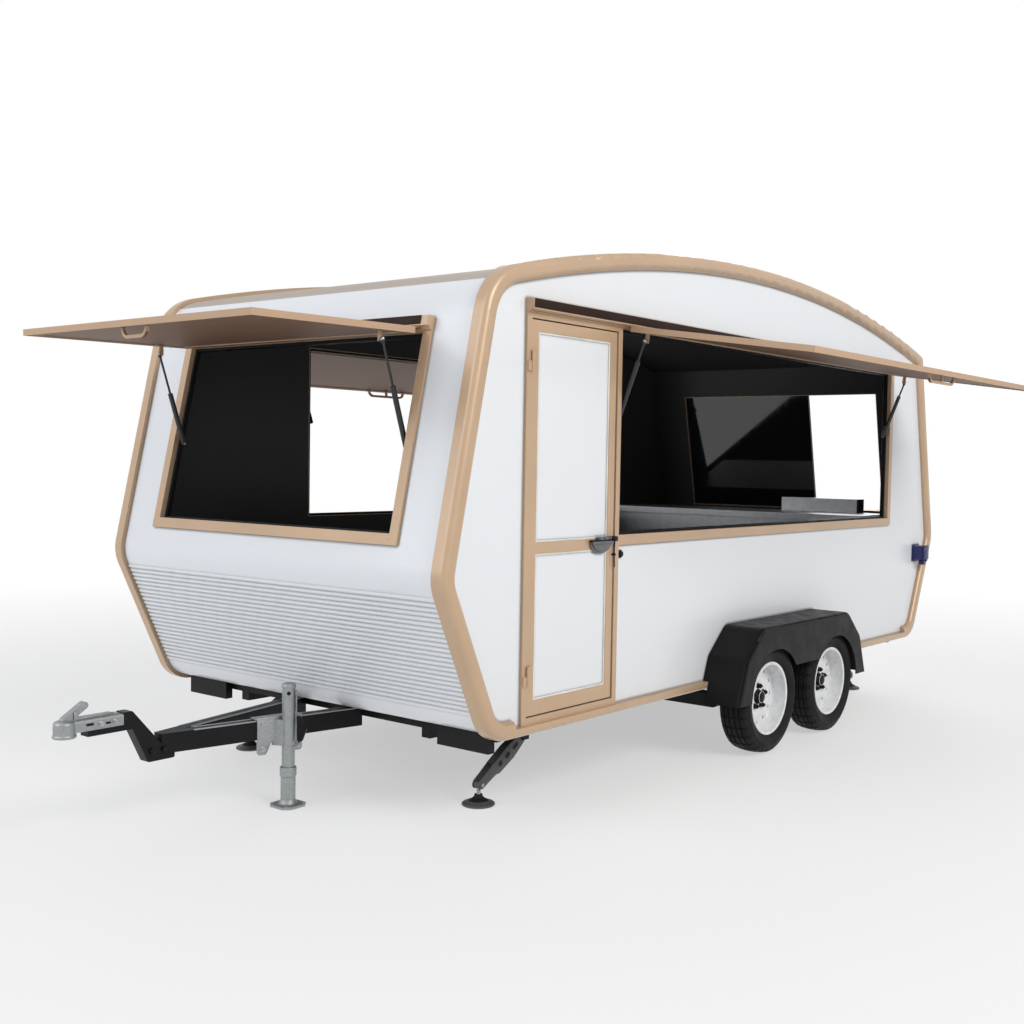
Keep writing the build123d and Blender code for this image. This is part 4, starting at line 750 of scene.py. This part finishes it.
def make_lock():
    lock = at(LOCK_X, DOOR_FACE, LOCK_Z)
    front = at(LOCK_X, DOOR_FACE + 0.008, LOCK_Z - 0.002)
    latch = at(LEAF_REAR + 0.010, DOOR_FACE, LOCK_Z)
    pull = bmesh.new()
    add_plate(pull, lock, tuple(half_moon(0.150, 0.046)), 0.010, 0.0025)
    add_plate(pull, front, tuple(half_moon(0.128, 0.036)), 0.012, 0.003)
    add_block(pull, lock, (-0.075, 0, -0.004), (0.075, 0.026, 0.008), 0.003)
    add_block(pull, lock, (-0.070, 0, 0.012), (0.030, 0.020, 0.026), 0.004)
    for along in LOCK_BOLTS:
        hexagon(pull, (LOCK_X + along, DOOR_FACE + 0.020, LOCK_BOLT_Z), (0, 1, 0), 0.010, 0.004)
    piece("lock_pull", pull, LOCK_GREY, "door", ("door_lock",))
    dark = bmesh.new()
    add_block(dark, lock, (-0.078, 0.002, 0.005), (0.078, 0.021, 0.014), 0.003)
    add_block(dark, latch, (-0.008, 0.0, 0.004), (0.022, 0.030, 0.026), 0.004)
    piece("lock_latch", dark, BLACK_STEEL, "door")
    strap = bmesh.new()
    add_plate(strap, at(LEAF_REAR + 0.006, DOOR_FACE + 0.012, LOCK_Z), STRAP_OUTLINE, 0.003, 0.0008)
    hexagon(strap, (LEAF_REAR + 0.006, DOOR_FACE, LOCK_Z - 0.055), (0, 1, 0), 0.009, 0.018)
    piece("lock_strap", strap, BLACK_PLASTIC, "door")
    stop = bmesh.new()
    add_turned(stop, STOP_PROFILE, (LEAF_REAR - 0.062, WALL_FACE, LOCK_Z - 0.057), (0, 1, 0), 32)
    piece("door_stop", stop, BLACK_PLASTIC, "root")


def make_door_seals():
    beads = bmesh.new()
    infill = at(0, WALL_FACE - 0.001, 0)
    for low, high in INFILLS:
        add_loop(beads, infill, (LEAF_REAR + STILE, low), (LEAF_FRONT - STILE, high), 0.009, 0.005, 0.002)
    piece("door_beads", beads, SEAL_GREY, "door")
    gap = bmesh.new()
    low = (LEAF_REAR - DOOR_GAP, LEAF_LOW - DOOR_GAP)
    high = (LEAF_FRONT + DOOR_GAP, LEAF_HIGH + DOOR_GAP)
    add_loop(gap, at(0, GAP_BACK, 0), low, high, 0.0045, 0.028, 0.001)
    piece("door_gap_seal", gap, BLACK_PLASTIC, "root")
    screws = bmesh.new()
    for height in HINGE_HEIGHTS:
        for along, lifts in HINGE_LEAVES:
            for lift in lifts:
                leaf = at(HINGE_LINE_X + along, HINGE_FACE, height + lift)
                add_screw(screws, leaf, (0, 0, 0), (0, 1, 0), 0.0032, 0.0012)
    for up in spaced(LEAF_LOW + 0.1, LEAF_HIGH - 0.1, 0.36):
        for along in (LEAF_REAR + STILE / 2, LEAF_FRONT - STILE / 2):
            add_screw(screws, at(along, DOOR_FACE, up), (0, 0, 0), (0, 1, 0), 0.0035, 0.0012)
    piece("door_screws", screws, BRONZE, "door")


make_lock()
make_door_seals()


# Corner steadies: a folded arm on its pin, a threaded screw and a round pad
STEADY_PIVOT_Z = 0.258
STEADY_END_Z = 0.088
STEADY_REACH = 0.280
STEADY_Y = 0.760
FLANGE_OUT = 0.0195
FLANGE_THICKNESS = 0.004
THREAD_RADIUS = 0.0095
THREAD_DEPTH = 0.0018
THREAD_PITCH = 0.007
THREAD_START = 0.046
END_PIN_HALF = 0.0155
# Columns: distance down the arm from the pin, distance above the arm's middle line
FLANGE_OUTLINE = (
    (-0.016, 0.016), (0.030, 0.026), (0.120, 0.034), (0.225, 0.030), (0.285, 0.024), (0.330, 0.022),
    (0.345, 0.012), (0.348, 0.0), (0.343, -0.012), (0.330, -0.019), (0.290, -0.020), (0.235, -0.024),
    (0.215, -0.034), (0.110, -0.038), (0.030, -0.026), (-0.016, -0.016),
)
WEB_OUTLINE = (
    (0.030, 0.026), (0.120, 0.034), (0.225, 0.030), (0.225, 0.026), (0.120, 0.030), (0.030, 0.022),
)
# Columns: distance down the arm, half length and half height of each slot in its sides
ARM_SLOTS = ((0.075, 0.020, 0.010), (0.135, 0.017, 0.012), (0.190, 0.014, 0.011))
# Columns: radius and height
PAD_PROFILE = (
    (0.0, 0.001), (0.067, 0.001), (0.071, 0.004), (0.070, 0.010), (0.065, 0.014), (0.046, 0.019),
    (0.044, 0.021), (0.0, 0.021),
)
BOOT_PROFILE = (
    (0.0, 0.0205), (0.042, 0.0205), (0.040, 0.024), (0.026, 0.031), (0.019, 0.039), (0.0165, 0.048),
    (0.0, 0.048),
)
# Columns: name, place of the pin along the trailer, end, side
STEADIES = (
    ("front_left", 1.100, 1, 1),
    ("front_right", 1.100, 1, -1),
    ("rear_left", -2.006, -1, 1),
    ("rear_right", -2.006, -1, -1),
)


def make_steady(name, pin_x, end, side):
    body = f"steady_{name}"
    pin = Vector((pin_x, side * STEADY_Y, STEADY_PIVOT_Z))
    foot = Vector((pin_x + end * STEADY_REACH, side * STEADY_Y, 0))
    down = Vector((end * STEADY_REACH, 0, STEADY_END_Z - STEADY_PIVOT_Z)).normalized()
    above = Vector((-down.z * end, 0, down.x * end))
    along_arm = Matrix((down, Vector((0, 1, 0)), above)).transposed().to_4x4()
    place = Matrix.Translation(pin) @ along_arm
    arm = bmesh.new()
    slots = bmesh.new()
    for flank in (-1, 1):
        inner = flank * (FLANGE_OUT - FLANGE_THICKNESS)
        add_plate(arm, place @ at(0, inner, 0), FLANGE_OUTLINE, flank * FLANGE_THICKNESS, 0.0012)
        face = place @ at(0, flank * FLANGE_OUT, 0)
        # Painted shade: thin dark plates on the arm's sides stand for the shade inside its slots
        for middle, half_length, half_height in ARM_SLOTS:
            add_plate(slots, face, tuple(oval(half_length, half_height, middle)), flank * 0.0005)
    add_plate(arm, place @ at(0, -FLANGE_OUT, 0), WEB_OUTLINE, 2 * FLANGE_OUT, 0.001)
    pin_ends = [place @ Vector((0, flank * FLANGE_OUT, 0)) for flank in (-1, 1)]
    add_rod(arm, *pin_ends, 0.0155, rounding=0.002)
    nut_ends = [foot + Vector((0, flank * END_PIN_HALF, STEADY_END_Z)) for flank in (-1, 1)]
    add_rod(arm, *nut_ends, 0.0165, rounding=0.002)
    piece(f"steady_arm_{name}", arm, STEADY_GREY, body, (f"steady_{name}",))
    piece(f"steady_slot_shade_{name}", slots, BLACK_STEEL, body)
    screw = bmesh.new()
    level, thread = THREAD_START, []
    while level < STEADY_END_Z + 0.004:
        thread += [(THREAD_RADIUS - THREAD_DEPTH, level), (THREAD_RADIUS, level + THREAD_PITCH / 2)]
        level += THREAD_PITCH
    add_turned(screw, ((0, 0.044), *thread, (0, level)), foot, UP, 24)
    for flank in (-1, 1):
        hexagon(screw, foot + Vector((0, flank * FLANGE_OUT, STEADY_END_Z)), (0, flank, 0), 0.017, 0.006)
    piece(f"steady_screw_{name}", screw, GALVANISED, body)
    pad = bmesh.new()
    add_turned(pad, PAD_PROFILE, foot, UP)
    piece(f"steady_pad_{name}", pad, STEADY_GREY, body)
    boot = bmesh.new()
    add_turned(boot, BOOT_PROFILE, foot, UP, 36)
    piece(f"steady_boot_{name}", boot, BLACK_PLASTIC, body)


for steady_row in STEADIES:
    make_steady(*steady_row)


# Jack: clamp plate with its bolts, hole rim with painted shade in the hole, top, collar, weld and folded
# handle
JACK_PLACE = Vector((1.915, 0.1711, 0))
RAIL_FACE = Vector((1.915, 0.1321, 0))
RAIL_SLOPE = 0.21
RAIL_HEADING = Vector((1, -RAIL_SLOPE, 0)).normalized()
# Columns: distance along the rail, height
CLAMP_OUTLINE = (
    (-0.088, 0.378), (0.118, 0.378), (0.118, 0.232), (0.110, 0.222), (0.080, 0.222), (0.072, 0.232),
    (0.056, 0.268), (-0.036, 0.268), (-0.050, 0.232), (-0.058, 0.222), (-0.080, 0.222), (-0.088, 0.232),
)
CLAMP_BOLTS = ((0.095, 0.352), (0.095, 0.246), (-0.069, 0.352), (-0.069, 0.246))
HOLE_FACING = Vector((0.62, 0.78, 0)).normalized()
HOLE_OUT = 0.0252
PIN_HEIGHT = 0.478
# Columns: radius and height
COLLAR_PROFILE = (
    (0.0312, 0.126), (0.0345, 0.129), (0.0350, 0.160), (0.0335, 0.1655), (0.0300, 0.1668),
    (0.0276, 0.1655), (0.0276, 0.163),
)
FOOT_WELD_PROFILE = ((0.0308, 0.030), (0.0370, 0.0135), (0.0430, 0.0102), (0.0308, 0.0098))
FOOT_HOLE_PROFILE = ((0.0072, 0.0098), (0.0078, 0.0112), (0.0102, 0.0112), (0.0108, 0.0098))
FOOT_HOLE_RING = 0.0636
FOOT_HOLES = 4
WELD_PROFILE = ((0.0268, 0.2535), (0.0282, 0.2538), (0.0290, 0.2550), (0.0282, 0.2562), (0.0268, 0.2565))
TOP_PROFILE = (
    (0.0, 0.5185), (0.018, 0.5180), (0.0255, 0.5155), (0.0292, 0.5105), (0.0298, 0.5000), (0.0285, 0.4975),
)
# Columns: radius and distance out from the tube
HOLE_RIM_PROFILE = ((0.0085, 0.0), (0.0085, 0.0035), (0.0105, 0.0046), (0.0128, 0.0035), (0.0132, 0.0))
HOLE_SHADE_PROFILE = ((0.0, 0.0022), (0.0085, 0.0022), (0.0085, 0.0))
HANDLE_FACING = Vector((-0.61, 0.79, 0)).normalized()
# Columns: distance out from the middle of the tube, height
GRIP_OUTLINE = (
    (0.036, 0.380), (0.052, 0.377), (0.078, 0.326), (0.060, 0.276), (0.042, 0.268), (0.036, 0.285),
)
GRIP_HALF = 0.011


def upright_place(origin, heading):
    """Place with its x along a level heading and its z up."""
    return at(*origin) @ Matrix((heading, UP.cross(heading), UP)).transposed().to_4x4()


def make_handle():
    """Crank handle folded down against the outer side of the jack's tube."""
    place = upright_place(JACK_PLACE, HANDLE_FACING)
    strap = bmesh.new()
    add_block(strap, place, (0.0305, -0.008, 0.366), (0.0345, 0.008, 0.490), 0.0015)
    pin_ends = [place @ Vector((out, 0, PIN_HEIGHT)) for out in (0.026, 0.0375)]
    add_rod(strap, *pin_ends, 0.0065, rounding=0.001)
    piece("jack_strap", strap, GALVANISED, "root")
    grip = bmesh.new()
    add_plate(grip, place @ at(0, -GRIP_HALF, 0), GRIP_OUTLINE, 2 * GRIP_HALF, 0.0035)
    piece("jack_grip", grip, BLACK_PLASTIC, "root")


def make_jack():
    across = UP.cross(RAIL_HEADING)
    place = upright_place(RAIL_FACE, RAIL_HEADING)
    clamp = bmesh.new()
    add_plate(clamp, place @ at(0, 0.0004, 0), CLAMP_OUTLINE, 0.008, 0.0015)
    add_block(clamp, place, (-0.090, -0.052, 0.3665), (0.120, 0.0085, 0.3735), 0.0015)
    piece("jack_clamp", clamp, GALVANISED, "root")
    bolts = bmesh.new()
    for along, height in CLAMP_BOLTS:
        seat = place @ Vector((along, 0.0084, height))
        add_rod(bolts, seat, seat + across * 0.0022, 0.0125, rounding=0.0006)
        hexagon(bolts, seat + across * 0.002, across, 0.017, 0.010)
        add_rod(bolts, seat + across * 0.011, seat + across * 0.017, 0.0052, 0.0046, 12, 0.0008)
    piece("jack_bolts", bolts, STEEL, "root")
    rim = bmesh.new()
    hole = JACK_PLACE + HOLE_FACING * HOLE_OUT + UP * PIN_HEIGHT
    add_turned(rim, HOLE_RIM_PROFILE, hole, HOLE_FACING, 24)
    add_turned(rim, TOP_PROFILE, JACK_PLACE, UP, 40)
    add_turned(rim, WELD_PROFILE, JACK_PLACE, UP, 40)
    piece("jack_top", rim, GALVANISED, "root")
    # Painted shade: a dark disc inside the hole rim stands for the shade in the hole
    dark = bmesh.new()
    add_turned(dark, HOLE_SHADE_PROFILE, hole, HOLE_FACING, 24)
    piece("jack_hole_shade", dark, BLACK_STEEL, "root")
    collar = bmesh.new()
    add_turned(collar, COLLAR_PROFILE, JACK_PLACE, UP, 40)
    add_turned(collar, FOOT_WELD_PROFILE, JACK_PLACE, UP, 40)
    for index in range(FOOT_HOLES):
        turn = math.tau * (index + 0.5) / FOOT_HOLES
        spot = JACK_PLACE + FOOT_HOLE_RING * Vector((math.cos(turn), math.sin(turn), 0))
        add_turned(collar, FOOT_HOLE_PROFILE, spot, UP, 20)
    piece("jack_collar", collar, GALVANISED, "jack_leg")


make_jack()
make_handle()


# Coupling and drawbar: bolts, dark slot plates as painted shade, the lever's grip, and galvanised rods along
# the rails' top edges as painted highlights
HEAD_SIDE = 0.031
TONGUE_BOLTS = (2.632, 2.690)
TONGUE_BOLT_Z = 0.449
# Columns: middle along the coupling, height, half length and half height of each slot in its sides
HEAD_SLOTS = ((2.660, 0.4475, 0.011, 0.0042), (2.735, 0.452, 0.016, 0.0050))
SOCKET_X = 2.820
# Columns: radius and height
SOCKET_PROFILE = ((0.0395, 0.411), (0.0425, 0.413), (0.0430, 0.420), (0.0405, 0.424), (0.0395, 0.424))
CATCH_X = 2.715
CATCH_Z = 0.475
# Columns: lowest and highest corner from the foot of the catch, rounding
CATCH_BLOCKS = (
    ((-0.085, -0.017, -0.001), (0.060, 0.017, 0.0055), 0.0025),
    ((0.060, -0.021, -0.001), (0.078, -0.0155, 0.030), 0.002),
    ((0.060, 0.0155, -0.001), (0.078, 0.021, 0.030), 0.002),
)
# Columns: radius and distance out from the neck's side
NECK_RIM_PROFILE = ((0.0060, 0.0), (0.0060, 0.0012), (0.0085, 0.0020), (0.0105, 0.0012), (0.0105, 0.0))
# Columns: place along the trailer and height of each neck bolt
NECK_BOLTS = ((2.470, 0.305), (2.415, 0.305))
APEX_X = 2.425
RAIL_HALF = 0.025
RAIL_TOP = 0.365
RAIL_REAR = 1.545
HIGHLIGHT_RADIUS = 0.0032
# Columns: side of the trailer, edge of the rail, where the painted highlight starts behind the apex
RAIL_HIGHLIGHTS = ((1, 1, 0.13), (1, -1, 0.16), (-1, 1, 0.16), (-1, -1, 0.13))


def make_coupling():
    slots = bmesh.new()
    bolts = bmesh.new()
    for side in (-1, 1):
        # Painted shade: thin dark plates on the head's sides stand for the shade inside its slots
        for x, z, half_length, half_height in HEAD_SLOTS:
            outline = tuple(oval(half_length, half_height, 0))
            add_plate(slots, at(x, side * HEAD_SIDE, z), outline, side * 0.0006)
        for x in TONGUE_BOLTS:
            seat = Vector((x, side * HEAD_SIDE, TONGUE_BOLT_Z))
            add_rod(bolts, seat, seat + Vector((0, side * 0.0020, 0)), 0.0115, rounding=0.0005)
            hexagon(bolts, seat + Vector((0, side * 0.0018, 0)), (0, side, 0), 0.016, 0.0085)
            add_rod(bolts, seat, seat + Vector((0, side * 0.0145, 0)), 0.0048, 0.0042, 12, 0.0008)
    piece("coupling_slot_shade", slots, BLACK_STEEL, "root")
    piece("coupling_bolts", bolts, STEEL, "root")
    head = bmesh.new()
    add_turned(head, SOCKET_PROFILE, (SOCKET_X, 0, 0), UP, 40)
    for low, high, rounding in CATCH_BLOCKS:
        add_block(head, at(CATCH_X, 0, CATCH_Z), low, high, rounding)
    add_rod(head, (2.784, -0.0235, 0.494), (2.784, 0.0235, 0.494), 0.005, rounding=0.001)
    piece("coupling_catch", head, GALVANISED, "root")
    grip = bmesh.new()
    add_rod(grip, (2.7600, 0, 0.5135), (2.7420, 0, 0.5250), 0.0148, 0.0158, 28, 0.004)
    piece("lever_grip", grip, GALVANISED, "root")


def make_rail_highlights():
    edges = bmesh.new()
    # Painted highlight: thin galvanised rods along the top edges of the black rails stand for bright edge
    # highlights
    for side, edge, start in RAIL_HIGHLIGHTS:
        ends = []
        for x in (APEX_X - start, RAIL_REAR):
            y = side * (APEX_X - x) * RAIL_SLOPE + edge * (RAIL_HALF - 0.0015)
            ends.append((x, y, RAIL_TOP - 0.0008))
        add_rod(edges, *ends, HIGHLIGHT_RADIUS, sides=10)
    piece("rail_highlights", edges, GALVANISED, "root")
    neck = bmesh.new()
    for side in (-1, 1):
        add_turned(neck, NECK_RIM_PROFILE, (2.585, side * RAIL_HALF, 0.424), (0, side, 0), 20)
        for x, z in NECK_BOLTS:
            hexagon(neck, (x, side * RAIL_HALF, z), (0, side, 0), 0.022, 0.011)
    piece("neck_fittings", neck, BLACK_STEEL, "root")


make_coupling()
make_rail_highlights()


# Hinge rails: a dark strip laid over each rail
STRIP_OUT = 0.0158
STRIP_THICKNESS = 0.003
STRIP_LOW = 0.008
STRIP_HIGH = 0.044
STRIP_GAP = 0.002
# Columns: hatch, how far its rail runs beyond the hatch at the low and the high end
RAIL_RUNS = (("left", 0.016, 0.657), ("right", 0.016, 0.016), ("front", 0.016, 0.016))


def make_hinge_strip(name, low_run, high_run):
    half = HATCHES[name].half
    strip = bmesh.new()
    low = (-half - low_run + STRIP_GAP, STRIP_OUT, STRIP_LOW)
    high = (half + high_run - STRIP_GAP, STRIP_OUT + STRIP_THICKNESS, STRIP_HIGH)
    add_block(strip, hatch_wall(name), low, high, 0.0012)
    piece(f"hinge_strip_{name}", strip, DARK_TRIM, "root")


for rail_row in RAIL_RUNS:
    make_hinge_strip(*rail_row)


# Rear lamps, blank plate and power inlet
LAMP_FACE = -2.473
LAMP_LOW = 0.309
LAMP_HIGH = 0.365
PLATE_X = -2.4465
PLATE_TURN = at(PLATE_X - 0.0005, 0, 0) @ Matrix.Rotation(math.radians(90), 4, "Z")
PLATE_THICKNESS = 0.004
HOLDER_STRAPS = (-0.16, 0.16)
PLATE_FIXINGS = (-0.21, 0.21)
PLATE_FIXING_Z = 0.291
LAMP_SCREWS = (-0.871, -0.791, 0.791, 0.871)
# Columns: nearest and furthest distance from the centre line, name, finish
LENSES = (
    (0.8730, 0.9450, "amber", AMBER_LENS),
    (0.7930, 0.8690, "red", RED_LENS),
    (0.7150, 0.7890, "clear", CLEAR_LENS),
)


def make_rear_lamps():
    face = at(LAMP_FACE, 0, 0)
    for near, far, name, finish in LENSES:
        lens = bmesh.new()
        for side in (-1, 1):
            low_y, high_y = sorted((side * near, side * far))
            low, high = (-0.0085, low_y, LAMP_LOW + 0.004), (0.001, high_y, LAMP_HIGH - 0.004)
            add_block(lens, face, low, high, 0.0028, 3)
            for height in spaced(LAMP_LOW + 0.011, LAMP_HIGH - 0.011, 0.0085):
                rib = ((-0.0098, low_y + 0.004, height - 0.0022), (-0.0075, high_y - 0.004, height + 0.0022))
                add_block(lens, face, *rib, 0.001)
        piece(f"lens_{name}", lens, finish, "root")
    screws = bmesh.new()
    for y in LAMP_SCREWS:
        for height in (LAMP_LOW + 0.003, LAMP_HIGH - 0.003):
            add_screw(screws, at(LAMP_FACE, y, height), (0, 0, 0), (-1, 0, 0), 0.0028, 0.0014)
    piece("lamp_screws", screws, STEEL, "root")


def make_plate():
    plate = bmesh.new()
    add_block(plate, at(PLATE_X, 0, 0), (-PLATE_THICKNESS, -0.260, 0.236), (0.0, 0.260, 0.346), 0.0018)
    piece("blank_plate", plate, PANEL, "root")
    holder = bmesh.new()
    for y in HOLDER_STRAPS:
        add_block(holder, at(PLATE_X, y, 0), (0.0, -0.014, 0.232), (0.0035, 0.014, 0.367), 0.001)
    add_loop(holder, PLATE_TURN, (-0.266, 0.230), (0.266, 0.352), 0.007, 0.007, 0.0015)
    piece("plate_holder", holder, BLACK_PLASTIC, "root")
    fixings = bmesh.new()
    for y in PLATE_FIXINGS:
        seat = at(PLATE_X - PLATE_THICKNESS, y, PLATE_FIXING_Z)
        add_screw(fixings, seat, (0, 0, 0), (-1, 0, 0), 0.005, 0.002)
    piece("plate_screws", fixings, STEEL, "root")


INLET_X = -2.631
INLET_Z = 0.900
INLET_FACE = 1.115
INLET_SCREW = 0.0525
# Columns: lowest and highest corner of each block of the lid from the middle of its face, rounding
LID_BLOCKS = (
    ((-0.043, -0.002, -0.043), (0.043, 0.009, 0.043), 0.005),
    ((-0.030, 0.006, -0.036), (0.030, 0.0125, 0.020), 0.004),
    ((-0.012, 0.004, -0.054), (0.012, 0.013, -0.040), 0.003),
)


def make_inlet():
    lid = bmesh.new()
    place = at(INLET_X, INLET_FACE, INLET_Z)
    for low, high, rounding in LID_BLOCKS:
        add_block(lid, place, low, high, rounding, 3)
    hinge_ends = [place @ Vector((x, 0.004, 0.046)) for x in (-0.036, 0.036)]
    add_rod(lid, *hinge_ends, 0.006, rounding=0.0015)
    flange = at(INLET_X, WALL_FACE, INLET_Z)
    add_block(lid, flange, (-0.057, 0.0, -0.057), (0.057, 0.006, 0.057), 0.003)
    piece("inlet_lid", lid, NAVY, "root")
    screws = bmesh.new()
    for x in (-INLET_SCREW, INLET_SCREW):
        for z in (-INLET_SCREW, INLET_SCREW):
            add_screw(screws, flange, (x, 0.006, z), (0, 1, 0), 0.0032, 0.0014)
    piece("inlet_screws", screws, STEEL, "root")
    cap = bmesh.new()
    hanging = at(INLET_X - 0.012, INLET_FACE - 0.038, INLET_Z - 0.048)
    add_block(cap, hanging, (-0.022, -0.002, -0.030), (0.022, 0.034, 0.001), 0.006, 3)
    knob_ends = [hanging @ Vector((x, 0.012, -0.014)) for x in (0.020, 0.034)]
    add_rod(cap, *knob_ends, 0.009, 0.007, 20, 0.002)
    piece("inlet_cap", cap, NAVY, "root")


make_rear_lamps()
make_plate()
make_inlet()


# Roof: joint strips across the arch, with their rivets
ROOF_TOP = 2.449
ROOF_ARC = 8.4458
ROOF_MIDDLE = -0.453
STRIP_HALF = 0.018
STRIP_TOP = 0.0022
STRIP_RIVET = 0.011
ROOF_STRIPS = (-1.36, ROOF_MIDDLE, 0.454)
ROOF_REACH = 0.998
RIVET_REACH = 0.96
RIVET_PITCH = 0.16


def make_roof_strips():
    strips = bmesh.new()
    rivets = bmesh.new()
    for x in ROOF_STRIPS:
        turn = math.asin((x - ROOF_MIDDLE) / ROOF_ARC)
        height = ROOF_TOP - ROOF_ARC * (1 - math.cos(turn))
        place = at(x, 0, height) @ Matrix.Rotation(turn, 4, "Y")
        low, high = (-STRIP_HALF, -ROOF_REACH, -0.001), (STRIP_HALF, ROOF_REACH, STRIP_TOP)
        add_block(strips, place, low, high, 0.0008)
        for y in spaced(-RIVET_REACH, RIVET_REACH, RIVET_PITCH):
            for along in (-STRIP_RIVET, STRIP_RIVET):
                add_screw(rivets, place, (along, y, STRIP_TOP), UP, 0.0035, 0.0012)
    piece("roof_strips", strips, ROOF_STRIP, "root")
    piece("roof_rivets", rivets, STEEL, "root")


make_roof_strips()


# Stage: pale floor, white surroundings and soft lamps
FLOOR_HALF = 60
FADE_START = 3.2
FADE_END = 8.5
NEAR_GLOW = 0.5
FLOOR_MIDDLE = (-0.4, 0, 0)


def make_floor():
    """Pale floor that takes the shadow near the trailer and fades into the white surroundings further off."""
    floor = bpy.data.objects.new("floor_stage", bpy.data.meshes.new("floor_stage"))
    shape = bmesh.new()
    bmesh.ops.create_grid(shape, x_segments=1, y_segments=1, size=FLOOR_HALF)
    shape.to_mesh(floor.data)
    shape.free()
    SCENE.collection.objects.link(floor)
    finish = Finish("pale_floor", (0.84, 0.84, 0.84), 0.6)
    away = finish.add("ShaderNodeVectorMath", operation="DISTANCE")
    finish.link(finish.coordinates, away.inputs[0])
    away.inputs[1].default_value = FLOOR_MIDDLE
    far = finish.spread(away.outputs["Value"], NEAR_GLOW, 1.0, FADE_START, FADE_END)
    path = finish.add("ShaderNodeLightPath")
    mirrored = finish.math("MAXIMUM", path.outputs["Is Glossy Ray"], path.outputs["Is Transmission Ray"])
    seen_far = finish.math("MULTIPLY", path.outputs["Is Camera Ray"], far)
    glow = finish.add("ShaderNodeEmission")
    glow.inputs["Color"].default_value = (1, 1, 1, 1)
    mixed = finish.add("ShaderNodeMixShader")
    finish.link(finish.math("MAXIMUM", mirrored, seen_far), mixed.inputs[0])
    finish.link(finish.shader.outputs[0], mixed.inputs[1])
    finish.link(glow.outputs[0], mixed.inputs[2])
    finish.link(mixed.outputs[0], finish.tree.nodes["Material Output"].inputs["Surface"])
    floor.data.materials.append(finish.material)


def make_surroundings():
    """Even pale light from all round, seen as plain white by the camera and in metal and glass."""
    world = bpy.data.worlds.new("studio")
    SCENE.world = world
    world.use_nodes = True
    tree = world.node_tree
    light = tree.nodes["Background"]
    light.inputs["Color"].default_value = (0.93, 0.96, 1.0, 1)
    light.inputs["Strength"].default_value = 0.40
    white = tree.nodes.new("ShaderNodeBackground")
    white.inputs["Color"].default_value = (1, 1, 1, 1)
    rays = tree.nodes.new("ShaderNodeLightPath")
    seen = rays.outputs["Is Camera Ray"]
    for ray in ("Is Glossy Ray", "Is Transmission Ray"):
        either = tree.nodes.new("ShaderNodeMath")
        either.operation = "MAXIMUM"
        tree.links.new(seen, either.inputs[0])
        tree.links.new(rays.outputs[ray], either.inputs[1])
        seen = either.outputs[0]
    mixed = tree.nodes.new("ShaderNodeMixShader")
    tree.links.new(seen, mixed.inputs[0])
    tree.links.new(light.outputs[0], mixed.inputs[1])
    tree.links.new(white.outputs[0], mixed.inputs[2])
    tree.links.new(mixed.outputs[0], tree.nodes["World Output"].inputs["Surface"])


# Columns: name, place, target, size, watts, colour
LAMPS = (
    ("key", (1.8, 9.8, 7.2), (0, 0.3, 1.2), 5.0, 660, (1.0, 0.98, 0.95)),
    ("fill", (9.5, -3.0, 5.0), (0, 0, 1.2), 7.0, 380, (0.95, 0.97, 1.0)),
    ("back", (-9.0, -5.0, 6.0), (0, 0, 1.2), 6.0, 300, (1.0, 1.0, 1.0)),
)


def make_lamps():
    for name, place, target, size, watts, colour in LAMPS:
        lamp = bpy.data.lights.new(name, "AREA")
        lamp.size = size
        lamp.energy = watts
        lamp.color = colour
        holder = bpy.data.objects.new(name, lamp)
        holder.location = place
        holder.rotation_euler = (Vector(target) - Vector(place)).to_track_quat("-Z", "Y").to_euler()
        SCENE.collection.objects.link(holder)


make_floor()
make_surroundings()
make_lamps()
SCENE.view_settings.view_transform = "Standard"
